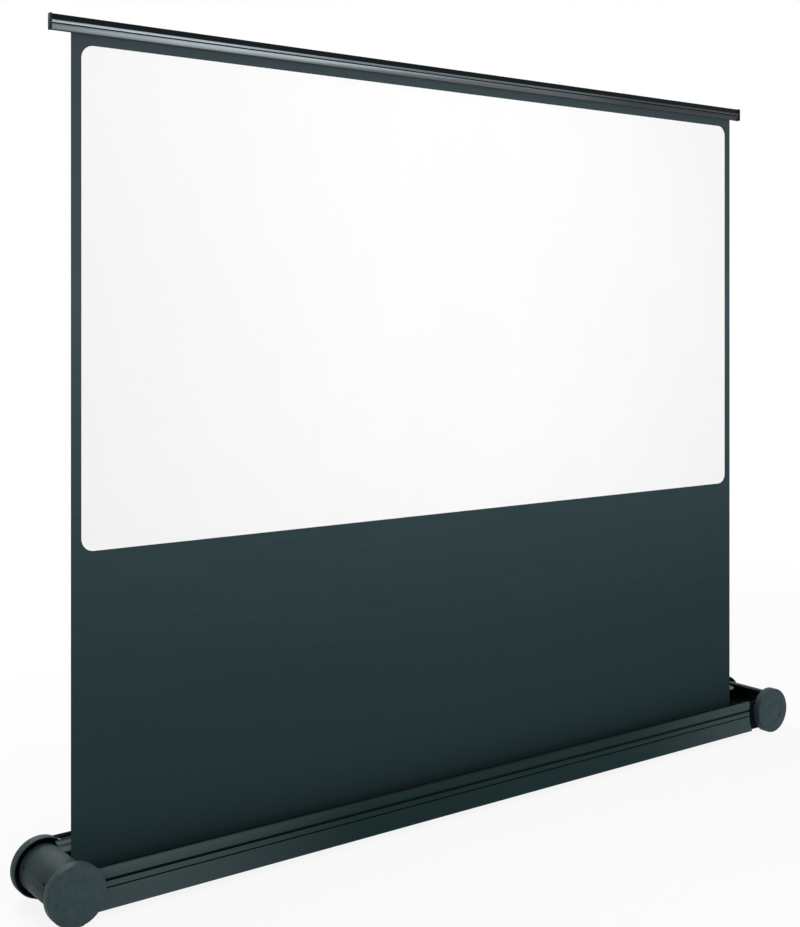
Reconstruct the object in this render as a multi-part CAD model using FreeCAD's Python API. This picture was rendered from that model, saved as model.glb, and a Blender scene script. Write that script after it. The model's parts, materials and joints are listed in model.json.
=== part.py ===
import FreeCAD, Part
import math
import os
from FreeCAD import Vector

# Portable projection screen that stands on the floor and is pulled up out of its case.
# Millimetres, +Z up, X along the screen, the audience looks along +Y.
# The origin is on the floor, under the middle of the base, and the fabric hangs at y = 0.
# The screen is modelled raised, as it is used.

# Projection surface
WHITE_WIDTH = 1995.0
WHITE_HEIGHT = 1038.0
WHITE_BOTTOM_Z = 720.0
WHITE_CORNER_RADIUS = 27.0
SIDE_BORDER = 22.5
TOP_BORDER = 23.0
FABRIC_MIDDLE_X = -22.5
BACKING_THICKNESS = 0.5
COATING_THICKNESS = 0.3
FABRIC_CLEARANCE = 0.3

# Round feet and wheels at the four corners
DISC_RADIUS = 62.0
DISC_WIDTH = 22.0
DISC_PAST_FABRIC = 51.0
BASE_DEPTH = 198.0
DISC_RIM_WALL = 3.0
DISC_FACE_WALL = 3.0
DISC_EDGE_BEVEL = 1.6
DISC_BOSS_RADIUS = 14.0
DISC_RIB_COUNT = 6
DISC_RIB_THICKNESS = 2.6
DISC_RIB_DEPTH = 8.0
HUB_RECESS_RADIUS = 31.0
FOOT_FLAT_HEIGHT = 1.6
TIE_ROD_RADIUS = 5.0
TIE_ROD_DEPTH_IN_BOSS = 15.0
AXLE_RADIUS = 6.0
AXLE_THREAD_RADIUS = 4.0
WHEEL_BUSH_WALL = 3.0
WHEEL_FACE_WALL = 5.0
WHEEL_SIDE_CLEARANCE = 0.4
HUB_COVER_THICKNESS = 2.0
HUB_COVER_SINK = 0.4
NUT_POCKET_RADIUS = 11.0
NUT_ACROSS_FLATS = 13.0
NUT_HEIGHT = 6.5

# Case: two aluminium rails with a floor plate between them
RAIL_SETBACK = 11.0
RAIL_DEPTH = 12.0
RAIL_WALL = 2.0
RAIL_BOTTOM_Z = 14.0
LEFT_NOTCH_RADIUS = 63.0
RIGHT_NOTCH_RADIUS = 93.0
DECK_END_GAP = 0.5
RAIL_BEVEL = 1.6
FLANGE_WIDTH = 16.0
FLANGE_THICKNESS = 2.5
GROOVE_DEPTH = 3.0
LOWER_GROOVE_Z = 57.5
LOWER_GROOVE_WIDTH = 3.2
UPPER_GROOVE_Z = 71.5
UPPER_GROOVE_WIDTH = 3.5
BEAD_MIDDLE_Z = 84.0
BEAD_STEP = 1.2
FRONT_CREST_Z = 97.0
FRONT_CREST_WIDTH = 4.0
REAR_CREST_Z = 121.5
REAR_CREST_WIDTH = 6.0
REAR_CREST_GAP = 3.0
DECK_Z = 100.5
DECK_RISE = 13.0
DECK_THICKNESS = 3.0
DECK_EDGE_Y = 40.0
DECK_LIP_HEIGHT = 7.0
DECK_LINE_DEPTH = 1.4
DECK_LINE_SHARES = ((0.2, 0.5), (0.78, 0.92))
FLOOR_PLATE_THICKNESS = 2.0
FLOOR_PLATE_END_GAP = 21.0

# End caps and the cheek plates that carry the feet, wheels and roller
CAP_RADIUS = 50.0
CAP_WALL = 3.0
LEFT_CAP_TOP_CUT = 25.5
RIGHT_CAP_TOP_CUT = 6.0
CAP_BOTTOM_ANGLE = 20.0
CAP_REACH_INTO_DISC = 2.0
CHEEK_THICKNESS = 4.0
CHEEK_OVERLAP = 60.0
CHEEK_TOP_Z = 94.0
CHEEK_CAP_GAP = 0.1
CAP_SCREW_ANGLE = 19.5
CAP_SCREW_INSET = 19.0
CAP_SCREW_SHIFT = 9.0
CAP_SCREW_HEAD_RADIUS = 4.1
CAP_SCREW_HEAD_HEIGHT = 0.9
CAP_SCREW_POCKET_RADIUS = 4.6
CAP_SCREW_POCKET_DEPTH = 2.2
CAP_SCREW_RADIUS = 2.0
CAP_SCREW_LENGTH = 6.0
CAP_TAB_REACH = 34.0
CAP_TAB_WIDTH = 20.0
CAP_TAB_THICKNESS = 3.0

# Roller with its spring
ROLLER_Y = -28.0
ROLLER_Z = 46.0
ROLLER_RADIUS = 25.0
ROLLER_WALL = 1.8
ROLLER_END_GAP = 5.0
ROLLER_PAST_FABRIC = 0.5
ROLLER_FLANGE = 2.0
PLUG_SPIGOT_LENGTH = 22.0
LEFT_JOURNAL_RADIUS = 5.0
RIGHT_JOURNAL_RADIUS = 8.0
ROLLER_BRACKET_THICKNESS = 3.0
ROLLER_BRACKET_TOP_Z = 78.0
RUNNING_CLEARANCE = 0.05
SPRING_SHAFT_RADIUS = 4.0
SPRING_SHAFT_LENGTH = 300.0
ROLLER_SPRING_WALL = 5.0
ROLLER_SPRING_END_GAP = 38.0
SPRING_ANCHOR_LENGTH = 18.0
BRAKE_DRUM_RADIUS = 15.0
BRAKE_DRUM_WIDTH = 12.0
BRAKE_COVER_WALL = 2.0
BRAKE_COVER_GAP = 3.0
BRAKE_COVER_LENGTH = 32.0

# Folding arms behind the fabric
RAISED_ANGLE = 75.0
SHOULDER_Z = 56.0
SHOULDER_SPACING = 120.0
WRIST_ABOVE_BAR_BOTTOM = 12.0
FOLDED_BAR_Z = 114.5
ARM_WIDTH = 36.0
ARM_THICKNESS = 10.0
ARM_WALL = 2.5
LOWER_ARM_Y = 8.0
ARM_LAYER_GAP = 2.0
ARM_PIVOT_RADIUS = 5.0
ARM_HEAD_RADIUS = 8.5
ARM_HEAD_HEIGHT = 1.7
OPEN_PIVOT_CLEARANCE = 0.8
WASHER_CLEARANCE = 0.3

# Bracket that carries the arms, in the middle of the case
SHOULDER_BRACKET_Y = 3.0
SHOULDER_BRACKET_WALL = 3.0
SHOULDER_BRACKET_LENGTH = 190.0
SHOULDER_BRACKET_TOP_Z = 80.0
SHOULDER_BRACKET_INSIDE = 28.0
ARM_SPRING_WALL = 4.0
REST_POST_WIDTH = 30.0
REST_POST_Y = 6.5
REST_POST_THICKNESS = 5.0
REST_PAD_HEIGHT = 4.0
REST_CLEARANCE = 0.3

# Top bar
BAR_HEIGHT = 32.0
BAR_DEPTH = 13.0
BAR_LEFT_OVERHANG = 46.5
BAR_RIGHT_OVERHANG = 37.0
BAR_CAP_THICKNESS = 3.0
BAR_CAP_PROUD = 1.1
BAR_WALL = 2.2
BAR_CORNER_RADIUS = 3.0
BAR_LOWER_FACE_HEIGHT = 11.5
BAR_LOWER_FACE_SLANT = 2.5
BAR_GROOVE_HEIGHT = 2.5
BAR_GROOVE_DEPTH = 2.2
BAR_RIB_HEIGHT = 4.6
BAR_RIB_PROUD = 1.0
BAR_SLOT_WIDTH = 1.8
FABRIC_ROD_RADIUS = 3.0
ROD_CLEARANCE = 0.2
ROD_MIDDLE_ABOVE_BOTTOM = 6.5
BAR_BRACKET_LENGTH = 210.0
BAR_BRACKET_THICKNESS = 3.0

# Screws
SCREW_RADIUS = 2.0
SCREW_HEAD_RADIUS = 3.8
SCREW_HEAD_HEIGHT = 1.8
SCREW_LENGTH = 8.0
SCREW_CLEARANCE = 0.1
CHEEK_SCREW_INSET = 15.0
FLOOR_SCREW_COUNT = 6
BRACKET_SCREW_INSET = 12.0

# One overrun past a face for every cut, how far ribs reach into their boss, and steps of arcs
OVERRUN = 5.0
RIB_BITE = 1.25
QUARTER_STEPS = 5
CREST_STEPS = 10
CAP_CORNER_STEPS = 6
NUT_SIDES = 6

# Places worked out from the sizes above
FABRIC_HALF_WIDTH = WHITE_WIDTH / 2 + SIDE_BORDER
DISC_MIDDLE_X = FABRIC_HALF_WIDTH + DISC_PAST_FABRIC
RAIL_LEFT_END_X = LEFT_NOTCH_RADIUS - DISC_MIDDLE_X
RAIL_RIGHT_END_X = DISC_MIDDLE_X - RIGHT_NOTCH_RADIUS
DECK_LEFT_END_X = LEFT_CAP_TOP_CUT + DECK_END_GAP - DISC_MIDDLE_X
DECK_RIGHT_END_X = DISC_MIDDLE_X - RIGHT_CAP_TOP_CUT - DECK_END_GAP
DISC_FACE_Y = BASE_DEPTH / 2
DISC_BACK_Y = DISC_FACE_Y - DISC_WIDTH
RAIL_OUTER_Y = DISC_FACE_Y - RAIL_SETBACK
RAIL_INNER_Y = RAIL_OUTER_Y - RAIL_DEPTH
FLANGE_TOP_Z = RAIL_BOTTOM_Z + FLANGE_THICKNESS
FLOOR_TOP_Z = FLANGE_TOP_Z + FLOOR_PLATE_THICKNESS
FLOOR_PLATE_HALF = DISC_MIDDLE_X - FLOOR_PLATE_END_GAP
CHEEK_INNER_Y = RAIL_INNER_Y - CHEEK_THICKNESS
CHEEK_RADIUS = CAP_RADIUS - CAP_WALL - CHEEK_CAP_GAP
CAP_HALF_LENGTH = DISC_BACK_Y + CAP_REACH_INTO_DISC
FABRIC_LEFT_X = FABRIC_MIDDLE_X - FABRIC_HALF_WIDTH
FABRIC_RIGHT_X = FABRIC_MIDDLE_X + FABRIC_HALF_WIDTH
FABRIC_FRONT_Y = -(BACKING_THICKNESS + COATING_THICKNESS) / 2
FABRIC_BACK_Y = -FABRIC_FRONT_Y
FABRIC_ROLL_RADIUS = FABRIC_FRONT_Y - FABRIC_CLEARANCE - ROLLER_Y
WHITE_TOP_Z = WHITE_BOTTOM_Z + WHITE_HEIGHT
BAR_BOTTOM_Z = WHITE_TOP_Z + TOP_BORDER
BAR_TOP_Z = BAR_BOTTOM_Z + BAR_HEIGHT
BAR_FRONT_Y = -BAR_DEPTH / 2
BAR_REAR_Y = BAR_DEPTH / 2
ROD_Z = BAR_BOTTOM_Z + ROD_MIDDLE_ABOVE_BOTTOM
WRIST_Z = BAR_BOTTOM_Z + WRIST_ABOVE_BAR_BOTTOM
ARM_LENGTH = (WRIST_Z - SHOULDER_Z) / (2 * math.sin(math.radians(RAISED_ANGLE)))
ELBOW_REACH = ARM_LENGTH * math.cos(math.radians(RAISED_ANGLE))
ELBOW_Z = SHOULDER_Z + ARM_LENGTH * math.sin(math.radians(RAISED_ANGLE))
UPPER_ARM_Y = LOWER_ARM_Y + ARM_THICKNESS + ARM_LAYER_GAP
ROLLER_LEFT_X = FABRIC_LEFT_X - ROLLER_PAST_FABRIC
ROLLER_RIGHT_X = FABRIC_RIGHT_X + ROLLER_PAST_FABRIC
LEFT_BRACKET_X = ROLLER_LEFT_X - ROLLER_END_GAP
RIGHT_BRACKET_X = ROLLER_RIGHT_X + ROLLER_END_GAP
SHOULDER_BRACKET_REAR_Y = SHOULDER_BRACKET_Y + SHOULDER_BRACKET_WALL + SHOULDER_BRACKET_INSIDE


def block(x_range, y_range, z_range):
    """A box between two places along each axis."""
    size = (x_range[1] - x_range[0], y_range[1] - y_range[0], z_range[1] - z_range[0])
    return Part.makeBox(*size, Vector(x_range[0], y_range[0], z_range[0]))


def rod_along_y(x, z, radius, y_from, y_to):
    """A round rod that runs along Y."""
    return Part.makeCylinder(radius, y_to - y_from, Vector(x, y_from, z), Vector(0, 1, 0))


def rod_along_x(y, z, radius, x_from, x_to):
    """A round rod that runs along X."""
    return Part.makeCylinder(radius, x_to - x_from, Vector(x_from, y, z), Vector(1, 0, 0))


def rod_along_z(x, y, radius, z_from, z_to):
    """A round rod that stands along Z."""
    return Part.makeCylinder(radius, z_to - z_from, Vector(x, y, z_from), Vector(0, 0, 1))


def section_along_x(points, x_from, x_to):
    """A (y, z) outline drawn out along X."""
    corners = [Vector(x_from, y, z) for y, z in points]
    face = Part.Face(Part.makePolygon(corners + corners[:1]))
    return face.extrude(Vector(x_to - x_from, 0, 0))


def arc_points(middle, radii, angles, steps):
    """Points along an elliptic arc, as (y, z) pairs, between two angles in degrees."""
    points = []
    for index in range(steps + 1):
        angle = math.radians(angles[0] + (angles[1] - angles[0]) * index / steps)
        points.append((middle[0] + radii[0] * math.cos(angle), middle[1] + radii[1] * math.sin(angle)))
    return points


def write(name, shape):
    """Save one piece, or one group of like pieces, under its own name."""
    shape.exportStep("parts/" + name + ".step")


def joined(solids):
    """Separate solids kept together in one group."""
    return Part.makeCompound(solids)


def rail_cut_x():
    """Both ends of a cut that runs the whole length of a rail."""
    return (DECK_LEFT_END_X - OVERRUN, DECK_RIGHT_END_X + OVERRUN)


def rail_grooves(side):
    """The two lines along the outer wall of a rail."""
    cuts = []
    outer = side * (RAIL_OUTER_Y + OVERRUN)
    floor = side * (RAIL_OUTER_Y - GROOVE_DEPTH)
    y_range = (min(outer, floor), max(outer, floor))
    for z, width in (
        (LOWER_GROOVE_Z, LOWER_GROOVE_WIDTH),
        (UPPER_GROOVE_Z, UPPER_GROOVE_WIDTH),
    ):
        cuts.append(block(rail_cut_x(), y_range, (z, z + width)))
    return cuts


def rail_hollow(side):
    """The chamber inside the upright wall of a rail."""
    near = side * (RAIL_INNER_Y + RAIL_WALL)
    far = side * (RAIL_OUTER_Y - GROOVE_DEPTH - RAIL_WALL)
    z_range = (RAIL_BOTTOM_Z + RAIL_WALL, BEAD_MIDDLE_Z - RAIL_WALL)
    return block(rail_cut_x(), (min(near, far), max(near, far)), z_range)


def rail_end_cuts(side):
    """Round notches that clear both discs, and the corners below that clear both caps."""
    cuts = []
    near = side * RAIL_INNER_Y
    far = side * (RAIL_OUTER_Y + OVERRUN)
    notch_y = (min(near, far), max(near, far))
    for end, radius in ((-1, LEFT_NOTCH_RADIUS), (1, RIGHT_NOTCH_RADIUS)):
        cuts.append(rod_along_y(end * DISC_MIDDLE_X, DISC_RADIUS, radius, *notch_y))
        inward = end * FLOOR_PLATE_HALF
        beyond = end * DISC_MIDDLE_X
        flange_y = (-RAIL_OUTER_Y - OVERRUN, RAIL_OUTER_Y + OVERRUN)
        cuts.append(block((min(inward, beyond), max(inward, beyond)), flange_y, (0, FLOOR_TOP_Z)))
    return cuts


def screw_along_y(x, z, y_head, direction):
    """A screw whose head lies on the plane y_head and whose shank runs in the given direction."""
    head_end = y_head - direction * SCREW_HEAD_HEIGHT
    tip = y_head + direction * SCREW_LENGTH
    head = rod_along_y(x, z, SCREW_HEAD_RADIUS, min(y_head, head_end), max(y_head, head_end))
    shank = rod_along_y(x, z, SCREW_RADIUS, min(y_head, tip), max(y_head, tip))
    return head.fuse(shank).removeSplitter()


def screw_along_z(x, y, z_head, direction, length):
    """A screw whose head lies on the plane z_head and whose shank runs up (1) or down (-1)."""
    head_end = z_head - direction * SCREW_HEAD_HEIGHT
    tip = z_head + direction * length
    head = rod_along_z(x, y, SCREW_HEAD_RADIUS, min(z_head, head_end), max(z_head, head_end))
    shank = rod_along_z(x, y, SCREW_RADIUS, min(z_head, tip), max(z_head, tip))
    return head.fuse(shank).removeSplitter()


def cheek_screw_places(end):
    """Places (x, z) of the screws that hold a cheek to the rail at the left (-1) or right (1) end."""
    rail_end = RAIL_RIGHT_END_X if end > 0 else -RAIL_LEFT_END_X
    x_near = end * (rail_end - CHEEK_SCREW_INSET)
    x_far = end * (rail_end - CHEEK_OVERLAP + CHEEK_SCREW_INSET)
    z_low = FLOOR_TOP_Z + CHEEK_SCREW_INSET
    z_high = BEAD_MIDDLE_Z - CHEEK_SCREW_INSET
    return [(x_near, z_low), (x_near, z_high), (x_far, z_low), (x_far, z_high)]


def floor_screw_places():
    """Places (x, y) of the screws that hold the floor plate to the rail flanges."""
    pitch = (RAIL_RIGHT_END_X - RAIL_LEFT_END_X) / FLOOR_SCREW_COUNT
    flange_middle = RAIL_INNER_Y - FLANGE_WIDTH / 2
    places = []
    for index in range(FLOOR_SCREW_COUNT):
        x = RAIL_LEFT_END_X + pitch * (index + 1 / 2)
        places.extend([(x, -flange_middle), (x, flange_middle)])
    return places


def with_floor_holes(piece):
    """Clear the floor plate's screws through a rail flange or the plate."""
    for x, y in floor_screw_places():
        hole_radius = SCREW_RADIUS + SCREW_CLEARANCE
        piece = piece.cut(rod_along_z(x, y, hole_radius, 0, FLOOR_TOP_Z + OVERRUN))
    return piece


def with_cheek_holes(piece, side):
    """Clear the cheek screws through a rail's inner wall or a cheek on one side of the case."""
    for end in (-1, 1):
        for x, z in cheek_screw_places(end):
            near = side * (CHEEK_INNER_Y - OVERRUN)
            far = side * (CHEEK_INNER_Y + SCREW_LENGTH + SCREW_CLEARANCE)
            hole_radius = SCREW_RADIUS + SCREW_CLEARANCE
            piece = piece.cut(rod_along_y(x, z, hole_radius, min(near, far), max(near, far)))
    return piece


def front_rail():
    """Extruded front wall with two lines, a rounded bead along its top and a flange inwards."""
    crest_y = -(RAIL_INNER_Y + FRONT_CREST_WIDTH)
    bead_y = -(RAIL_OUTER_Y - BEAD_STEP)
    groove_y = -(RAIL_OUTER_Y - GROOVE_DEPTH)
    groove_z = UPPER_GROOVE_Z + UPPER_GROOVE_WIDTH / 2
    radii = (bead_y - crest_y, FRONT_CREST_Z - BEAD_MIDDLE_Z)
    under = math.degrees(math.acos((groove_y - crest_y) / (bead_y - crest_y)))
    bead = arc_points((crest_y, BEAD_MIDDLE_Z), radii, (-under, 90), CREST_STEPS)
    outline = [
        (-(RAIL_OUTER_Y - RAIL_BEVEL), RAIL_BOTTOM_Z),
        (-RAIL_OUTER_Y, RAIL_BOTTOM_Z + RAIL_BEVEL),
        (-RAIL_OUTER_Y, groove_z),
        (groove_y, groove_z),
        *bead,
        (-RAIL_INNER_Y, FRONT_CREST_Z),
        (-RAIL_INNER_Y, FLANGE_TOP_Z),
        (-(RAIL_INNER_Y - FLANGE_WIDTH), FLANGE_TOP_Z),
        (-(RAIL_INNER_Y - FLANGE_WIDTH), RAIL_BOTTOM_Z),
    ]
    rail = section_along_x(outline, DECK_LEFT_END_X, DECK_RIGHT_END_X)
    for cut in rail_grooves(-1) + [rail_hollow(-1)] + rail_end_cuts(-1):
        rail = rail.cut(cut)
    return with_cheek_holes(with_floor_holes(rail), -1)


def deck_point(share, depth):
    """A point of the sloped deck between its front edge (0) and its back (1), sunk by a depth."""
    back = RAIL_OUTER_Y - REAR_CREST_WIDTH - REAR_CREST_GAP
    y = DECK_EDGE_Y + (back - DECK_EDGE_Y) * share
    return (y, DECK_Z + DECK_RISE * share - depth)


def deck_lines():
    """Outline of the deck's sunk bands, from the back to the front."""
    points = []
    for near, far in reversed(DECK_LINE_SHARES):
        points.append(deck_point(far, 0))
        points.append(deck_point(far, DECK_LINE_DEPTH))
        points.append(deck_point(near, DECK_LINE_DEPTH))
        points.append(deck_point(near, 0))
    return points


def deck_underside(y):
    """Height of the deck's underside at a place along Y."""
    back_y, back_z = deck_point(1, DECK_THICKNESS)
    edge_y, edge_z = deck_point(0, DECK_THICKNESS)
    return edge_z + (back_z - edge_z) * (y - edge_y) / (back_y - edge_y)


def rear_rail():
    """Extruded rear wall with a raised crest and a sloped deck that reaches forward to the slot."""
    crest_front = RAIL_OUTER_Y - REAR_CREST_WIDTH
    crest_middle = RAIL_OUTER_Y - REAR_CREST_WIDTH / 2
    radii = (REAR_CREST_WIDTH / 2, REAR_CREST_WIDTH / 2)
    crest_z = REAR_CREST_Z - REAR_CREST_WIDTH / 2
    crest = arc_points((crest_middle, crest_z), radii, (0, 180), CREST_STEPS)
    deck_back, groove_floor = deck_point(1, DECK_THICKNESS)
    lip_y = DECK_EDGE_Y + DECK_THICKNESS
    outline = [
        (RAIL_INNER_Y - FLANGE_WIDTH, RAIL_BOTTOM_Z),
        (RAIL_OUTER_Y - RAIL_BEVEL, RAIL_BOTTOM_Z),
        (RAIL_OUTER_Y, RAIL_BOTTOM_Z + RAIL_BEVEL),
        *crest,
        (crest_front, groove_floor),
        (deck_back, groove_floor),
        deck_point(1, 0),
        *deck_lines(),
        deck_point(0, 0),
        (DECK_EDGE_Y, DECK_Z - DECK_LIP_HEIGHT),
        (lip_y, DECK_Z - DECK_LIP_HEIGHT),
        (lip_y, deck_underside(lip_y)),
        (RAIL_INNER_Y, deck_underside(RAIL_INNER_Y)),
        (RAIL_INNER_Y, FLANGE_TOP_Z),
        (RAIL_INNER_Y - FLANGE_WIDTH, FLANGE_TOP_Z),
    ]
    rail = section_along_x(outline, DECK_LEFT_END_X, DECK_RIGHT_END_X)
    for cut in rail_grooves(1) + [rail_hollow(1)] + rail_end_cuts(1):
        rail = rail.cut(cut)
    return with_cheek_holes(with_floor_holes(rail), 1)


def floor_plate():
    """Flat floor of the case, laid on the flanges of both rails."""
    plate = block(
        (-FLOOR_PLATE_HALF, FLOOR_PLATE_HALF),
        (-RAIL_INNER_Y, RAIL_INNER_Y),
        (FLANGE_TOP_Z, FLOOR_TOP_Z),
    )
    plate = with_floor_holes(plate)
    for x, y in shoulder_screw_places():
        hole_radius = SCREW_RADIUS + SCREW_CLEARANCE
        plate = plate.cut(rod_along_z(x, y, hole_radius, 0, FLOOR_TOP_Z + OVERRUN))
    return plate


def cap_screw_bar(end, y, radius, start, stop):
    """A round bar on the radius of a cap, between two distances from the middle of the cap."""
    angle = math.radians(CAP_SCREW_ANGLE)
    direction = Vector(end * math.cos(angle), 0, math.sin(angle))
    middle = Vector(end * DISC_MIDDLE_X, y, DISC_RADIUS)
    return Part.makeCylinder(radius, stop - start, middle + direction * start, direction)


def cap_screw_ys():
    """Places of a cap's two screws along Y, a little nearer the rear."""
    reach = CHEEK_INNER_Y - CAP_SCREW_INSET
    return [CAP_SCREW_SHIFT - reach, CAP_SCREW_SHIFT + reach]


def end_cap(end):
    """Half-round shell that closes the case between the discs at one end."""
    x = end * DISC_MIDDLE_X
    outer = rod_along_y(x, DISC_RADIUS, CAP_RADIUS, -CAP_HALF_LENGTH, CAP_HALF_LENGTH)
    inner = rod_along_y(
        x,
        DISC_RADIUS,
        CAP_RADIUS - CAP_WALL,
        -CAP_HALF_LENGTH - OVERRUN,
        CAP_HALF_LENGTH + OVERRUN,
    )
    shell = outer.cut(inner)
    bottom_cut = CAP_RADIUS * math.sin(math.radians(CAP_BOTTOM_ANGLE))
    far = end * (DISC_MIDDLE_X - CAP_RADIUS - OVERRUN)
    y_range = (-CAP_HALF_LENGTH - OVERRUN, CAP_HALF_LENGTH + OVERRUN)
    top_cut = LEFT_CAP_TOP_CUT if end < 0 else RIGHT_CAP_TOP_CUT
    for cut_x, z_range in (
        (end * (DISC_MIDDLE_X - top_cut), (DISC_RADIUS, DISC_RADIUS + CAP_RADIUS + OVERRUN)),
        (end * (DISC_MIDDLE_X - bottom_cut), (DISC_RADIUS - CAP_RADIUS - OVERRUN, DISC_RADIUS)),
    ):
        shell = shell.cut(block((min(cut_x, far), max(cut_x, far)), y_range, z_range))
    for y in cap_screw_ys():
        hole_radius = CAP_SCREW_RADIUS + SCREW_CLEARANCE
        shell = shell.cut(cap_screw_bar(end, y, hole_radius, 0, CAP_RADIUS + OVERRUN))
        pocket_floor = CAP_RADIUS - CAP_SCREW_POCKET_DEPTH
        pocket_end = CAP_RADIUS + OVERRUN
        shell = shell.cut(cap_screw_bar(end, y, CAP_SCREW_POCKET_RADIUS, pocket_floor, pocket_end))
    return shell


def end_cap_screws():
    """Screws sunk in pockets of both caps, into the tabs of the cheeks."""
    screws = []
    for end in (-1, 1):
        for y in cap_screw_ys():
            seat = CAP_RADIUS - CAP_SCREW_POCKET_DEPTH
            shank_start = seat - CAP_SCREW_LENGTH
            shank = cap_screw_bar(end, y, CAP_SCREW_RADIUS, shank_start, seat)
            head_end = seat + CAP_SCREW_HEAD_HEIGHT
            head = cap_screw_bar(end, y, CAP_SCREW_HEAD_RADIUS, seat, head_end)
            screws.append(head.fuse(shank).removeSplitter())
    return joined(screws)


def cheek(end, side):
    """Upright plate inside a rail, round at its outer end, that carries the disc at one corner."""
    near = side * CHEEK_INNER_Y
    far = side * RAIL_INNER_Y
    y_range = (min(near, far), max(near, far))
    rail_end = RAIL_RIGHT_END_X if end > 0 else -RAIL_LEFT_END_X
    x_inner = end * (rail_end - CHEEK_OVERLAP)
    x_outer = end * DISC_MIDDLE_X
    x_range = (min(x_inner, x_outer), max(x_inner, x_outer))
    plate = block(x_range, y_range, (FLOOR_TOP_Z, CHEEK_TOP_Z))
    round_end = rod_along_y(x_outer, DISC_RADIUS, CHEEK_RADIUS, *y_range)
    cap_edge = x_outer - end * (LEFT_CAP_TOP_CUT if end < 0 else RIGHT_CAP_TOP_CUT)
    beyond = x_outer - end * (CAP_RADIUS + OVERRUN)
    corner_x = (min(cap_edge, beyond), max(cap_edge, beyond))
    low_corner = block(corner_x, y_range, (0, FLOOR_TOP_Z))
    high_top = (CHEEK_TOP_Z, DISC_RADIUS + CAP_RADIUS + OVERRUN)
    high_corner = block(corner_x, y_range, high_top)
    round_end = round_end.cut(low_corner).cut(high_corner)
    plate = plate.fuse(round_end).fuse(cap_tab(end, side)).removeSplitter()
    hole_radius = TIE_ROD_RADIUS if end < 0 else AXLE_RADIUS
    hole_radius += RUNNING_CLEARANCE
    hole_y = (y_range[0] - OVERRUN, y_range[1] + OVERRUN)
    plate = plate.cut(rod_along_y(x_outer, DISC_RADIUS, hole_radius, *hole_y))
    screw_y = CAP_SCREW_SHIFT + side * (CHEEK_INNER_Y - CAP_SCREW_INSET)
    hole_radius = CAP_SCREW_RADIUS + SCREW_CLEARANCE
    plate = plate.cut(cap_screw_bar(end, screw_y, hole_radius, 0, CAP_RADIUS))
    return with_cheek_holes(plate, side)


def cap_tab(end, side):
    """Curved tab of a cheek that lies inside the cap and takes the cap's screw."""
    x = end * DISC_MIDDLE_X
    near = side * (CHEEK_INNER_Y - CAP_TAB_REACH)
    far = side * RAIL_INNER_Y
    y_range = (min(near, far), max(near, far))
    ring = rod_along_y(x, DISC_RADIUS, CHEEK_RADIUS, *y_range)
    hollow_y = (y_range[0] - OVERRUN, y_range[1] + OVERRUN)
    ring = ring.cut(rod_along_y(x, DISC_RADIUS, CHEEK_RADIUS - CAP_TAB_THICKNESS, *hollow_y))
    far_x = x + end * CAP_RADIUS
    middle_z = DISC_RADIUS + CHEEK_RADIUS * math.sin(math.radians(CAP_SCREW_ANGLE))
    z_range = (middle_z - CAP_TAB_WIDTH / 2, middle_z + CAP_TAB_WIDTH / 2)
    return ring.common(block((min(x, far_x), max(x, far_x)), y_range, z_range))


def case_screws():
    """Screws of the cheeks, from inside, and of the floor plate, from below."""
    screws = []
    for end in (-1, 1):
        for side in (-1, 1):
            for x, z in cheek_screw_places(end):
                screws.append(screw_along_y(x, z, side * CHEEK_INNER_Y, side))
    for x, y in floor_screw_places():
        length = FLOOR_TOP_Z - RAIL_BOTTOM_Z
        screws.append(screw_along_z(x, y, RAIL_BOTTOM_Z, 1, length))
    return joined(screws)


def turned_along_y(outline, x, side):
    """A turned shape about the disc axis: (radius, y) outline, mirrored for the rear side."""
    corners = [Vector(x + radius, side * y, DISC_RADIUS) for radius, y in outline]
    face = Part.Face(Part.makePolygon(corners + corners[:1]))
    return face.revolve(Vector(x, 0, DISC_RADIUS), Vector(0, 1, 0), 360)


def disc_ribs(x, side, y_floor):
    """Ribs inside a disc, from its boss to its rim."""
    ribs = []
    near = side * (y_floor - DISC_RIB_DEPTH)
    far = side * y_floor
    reach = DISC_RADIUS - DISC_RIM_WALL / 2
    half = DISC_RIB_THICKNESS / 2
    for index in range(DISC_RIB_COUNT):
        rib = block((x, x + reach), (min(near, far), max(near, far)), (-half, half))
        rib.translate(Vector(0, 0, DISC_RADIUS))
        rib.rotate(Vector(x, 0, DISC_RADIUS), Vector(0, 1, 0), 360 * index / DISC_RIB_COUNT)
        ribs.append(rib)
    return ribs


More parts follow.
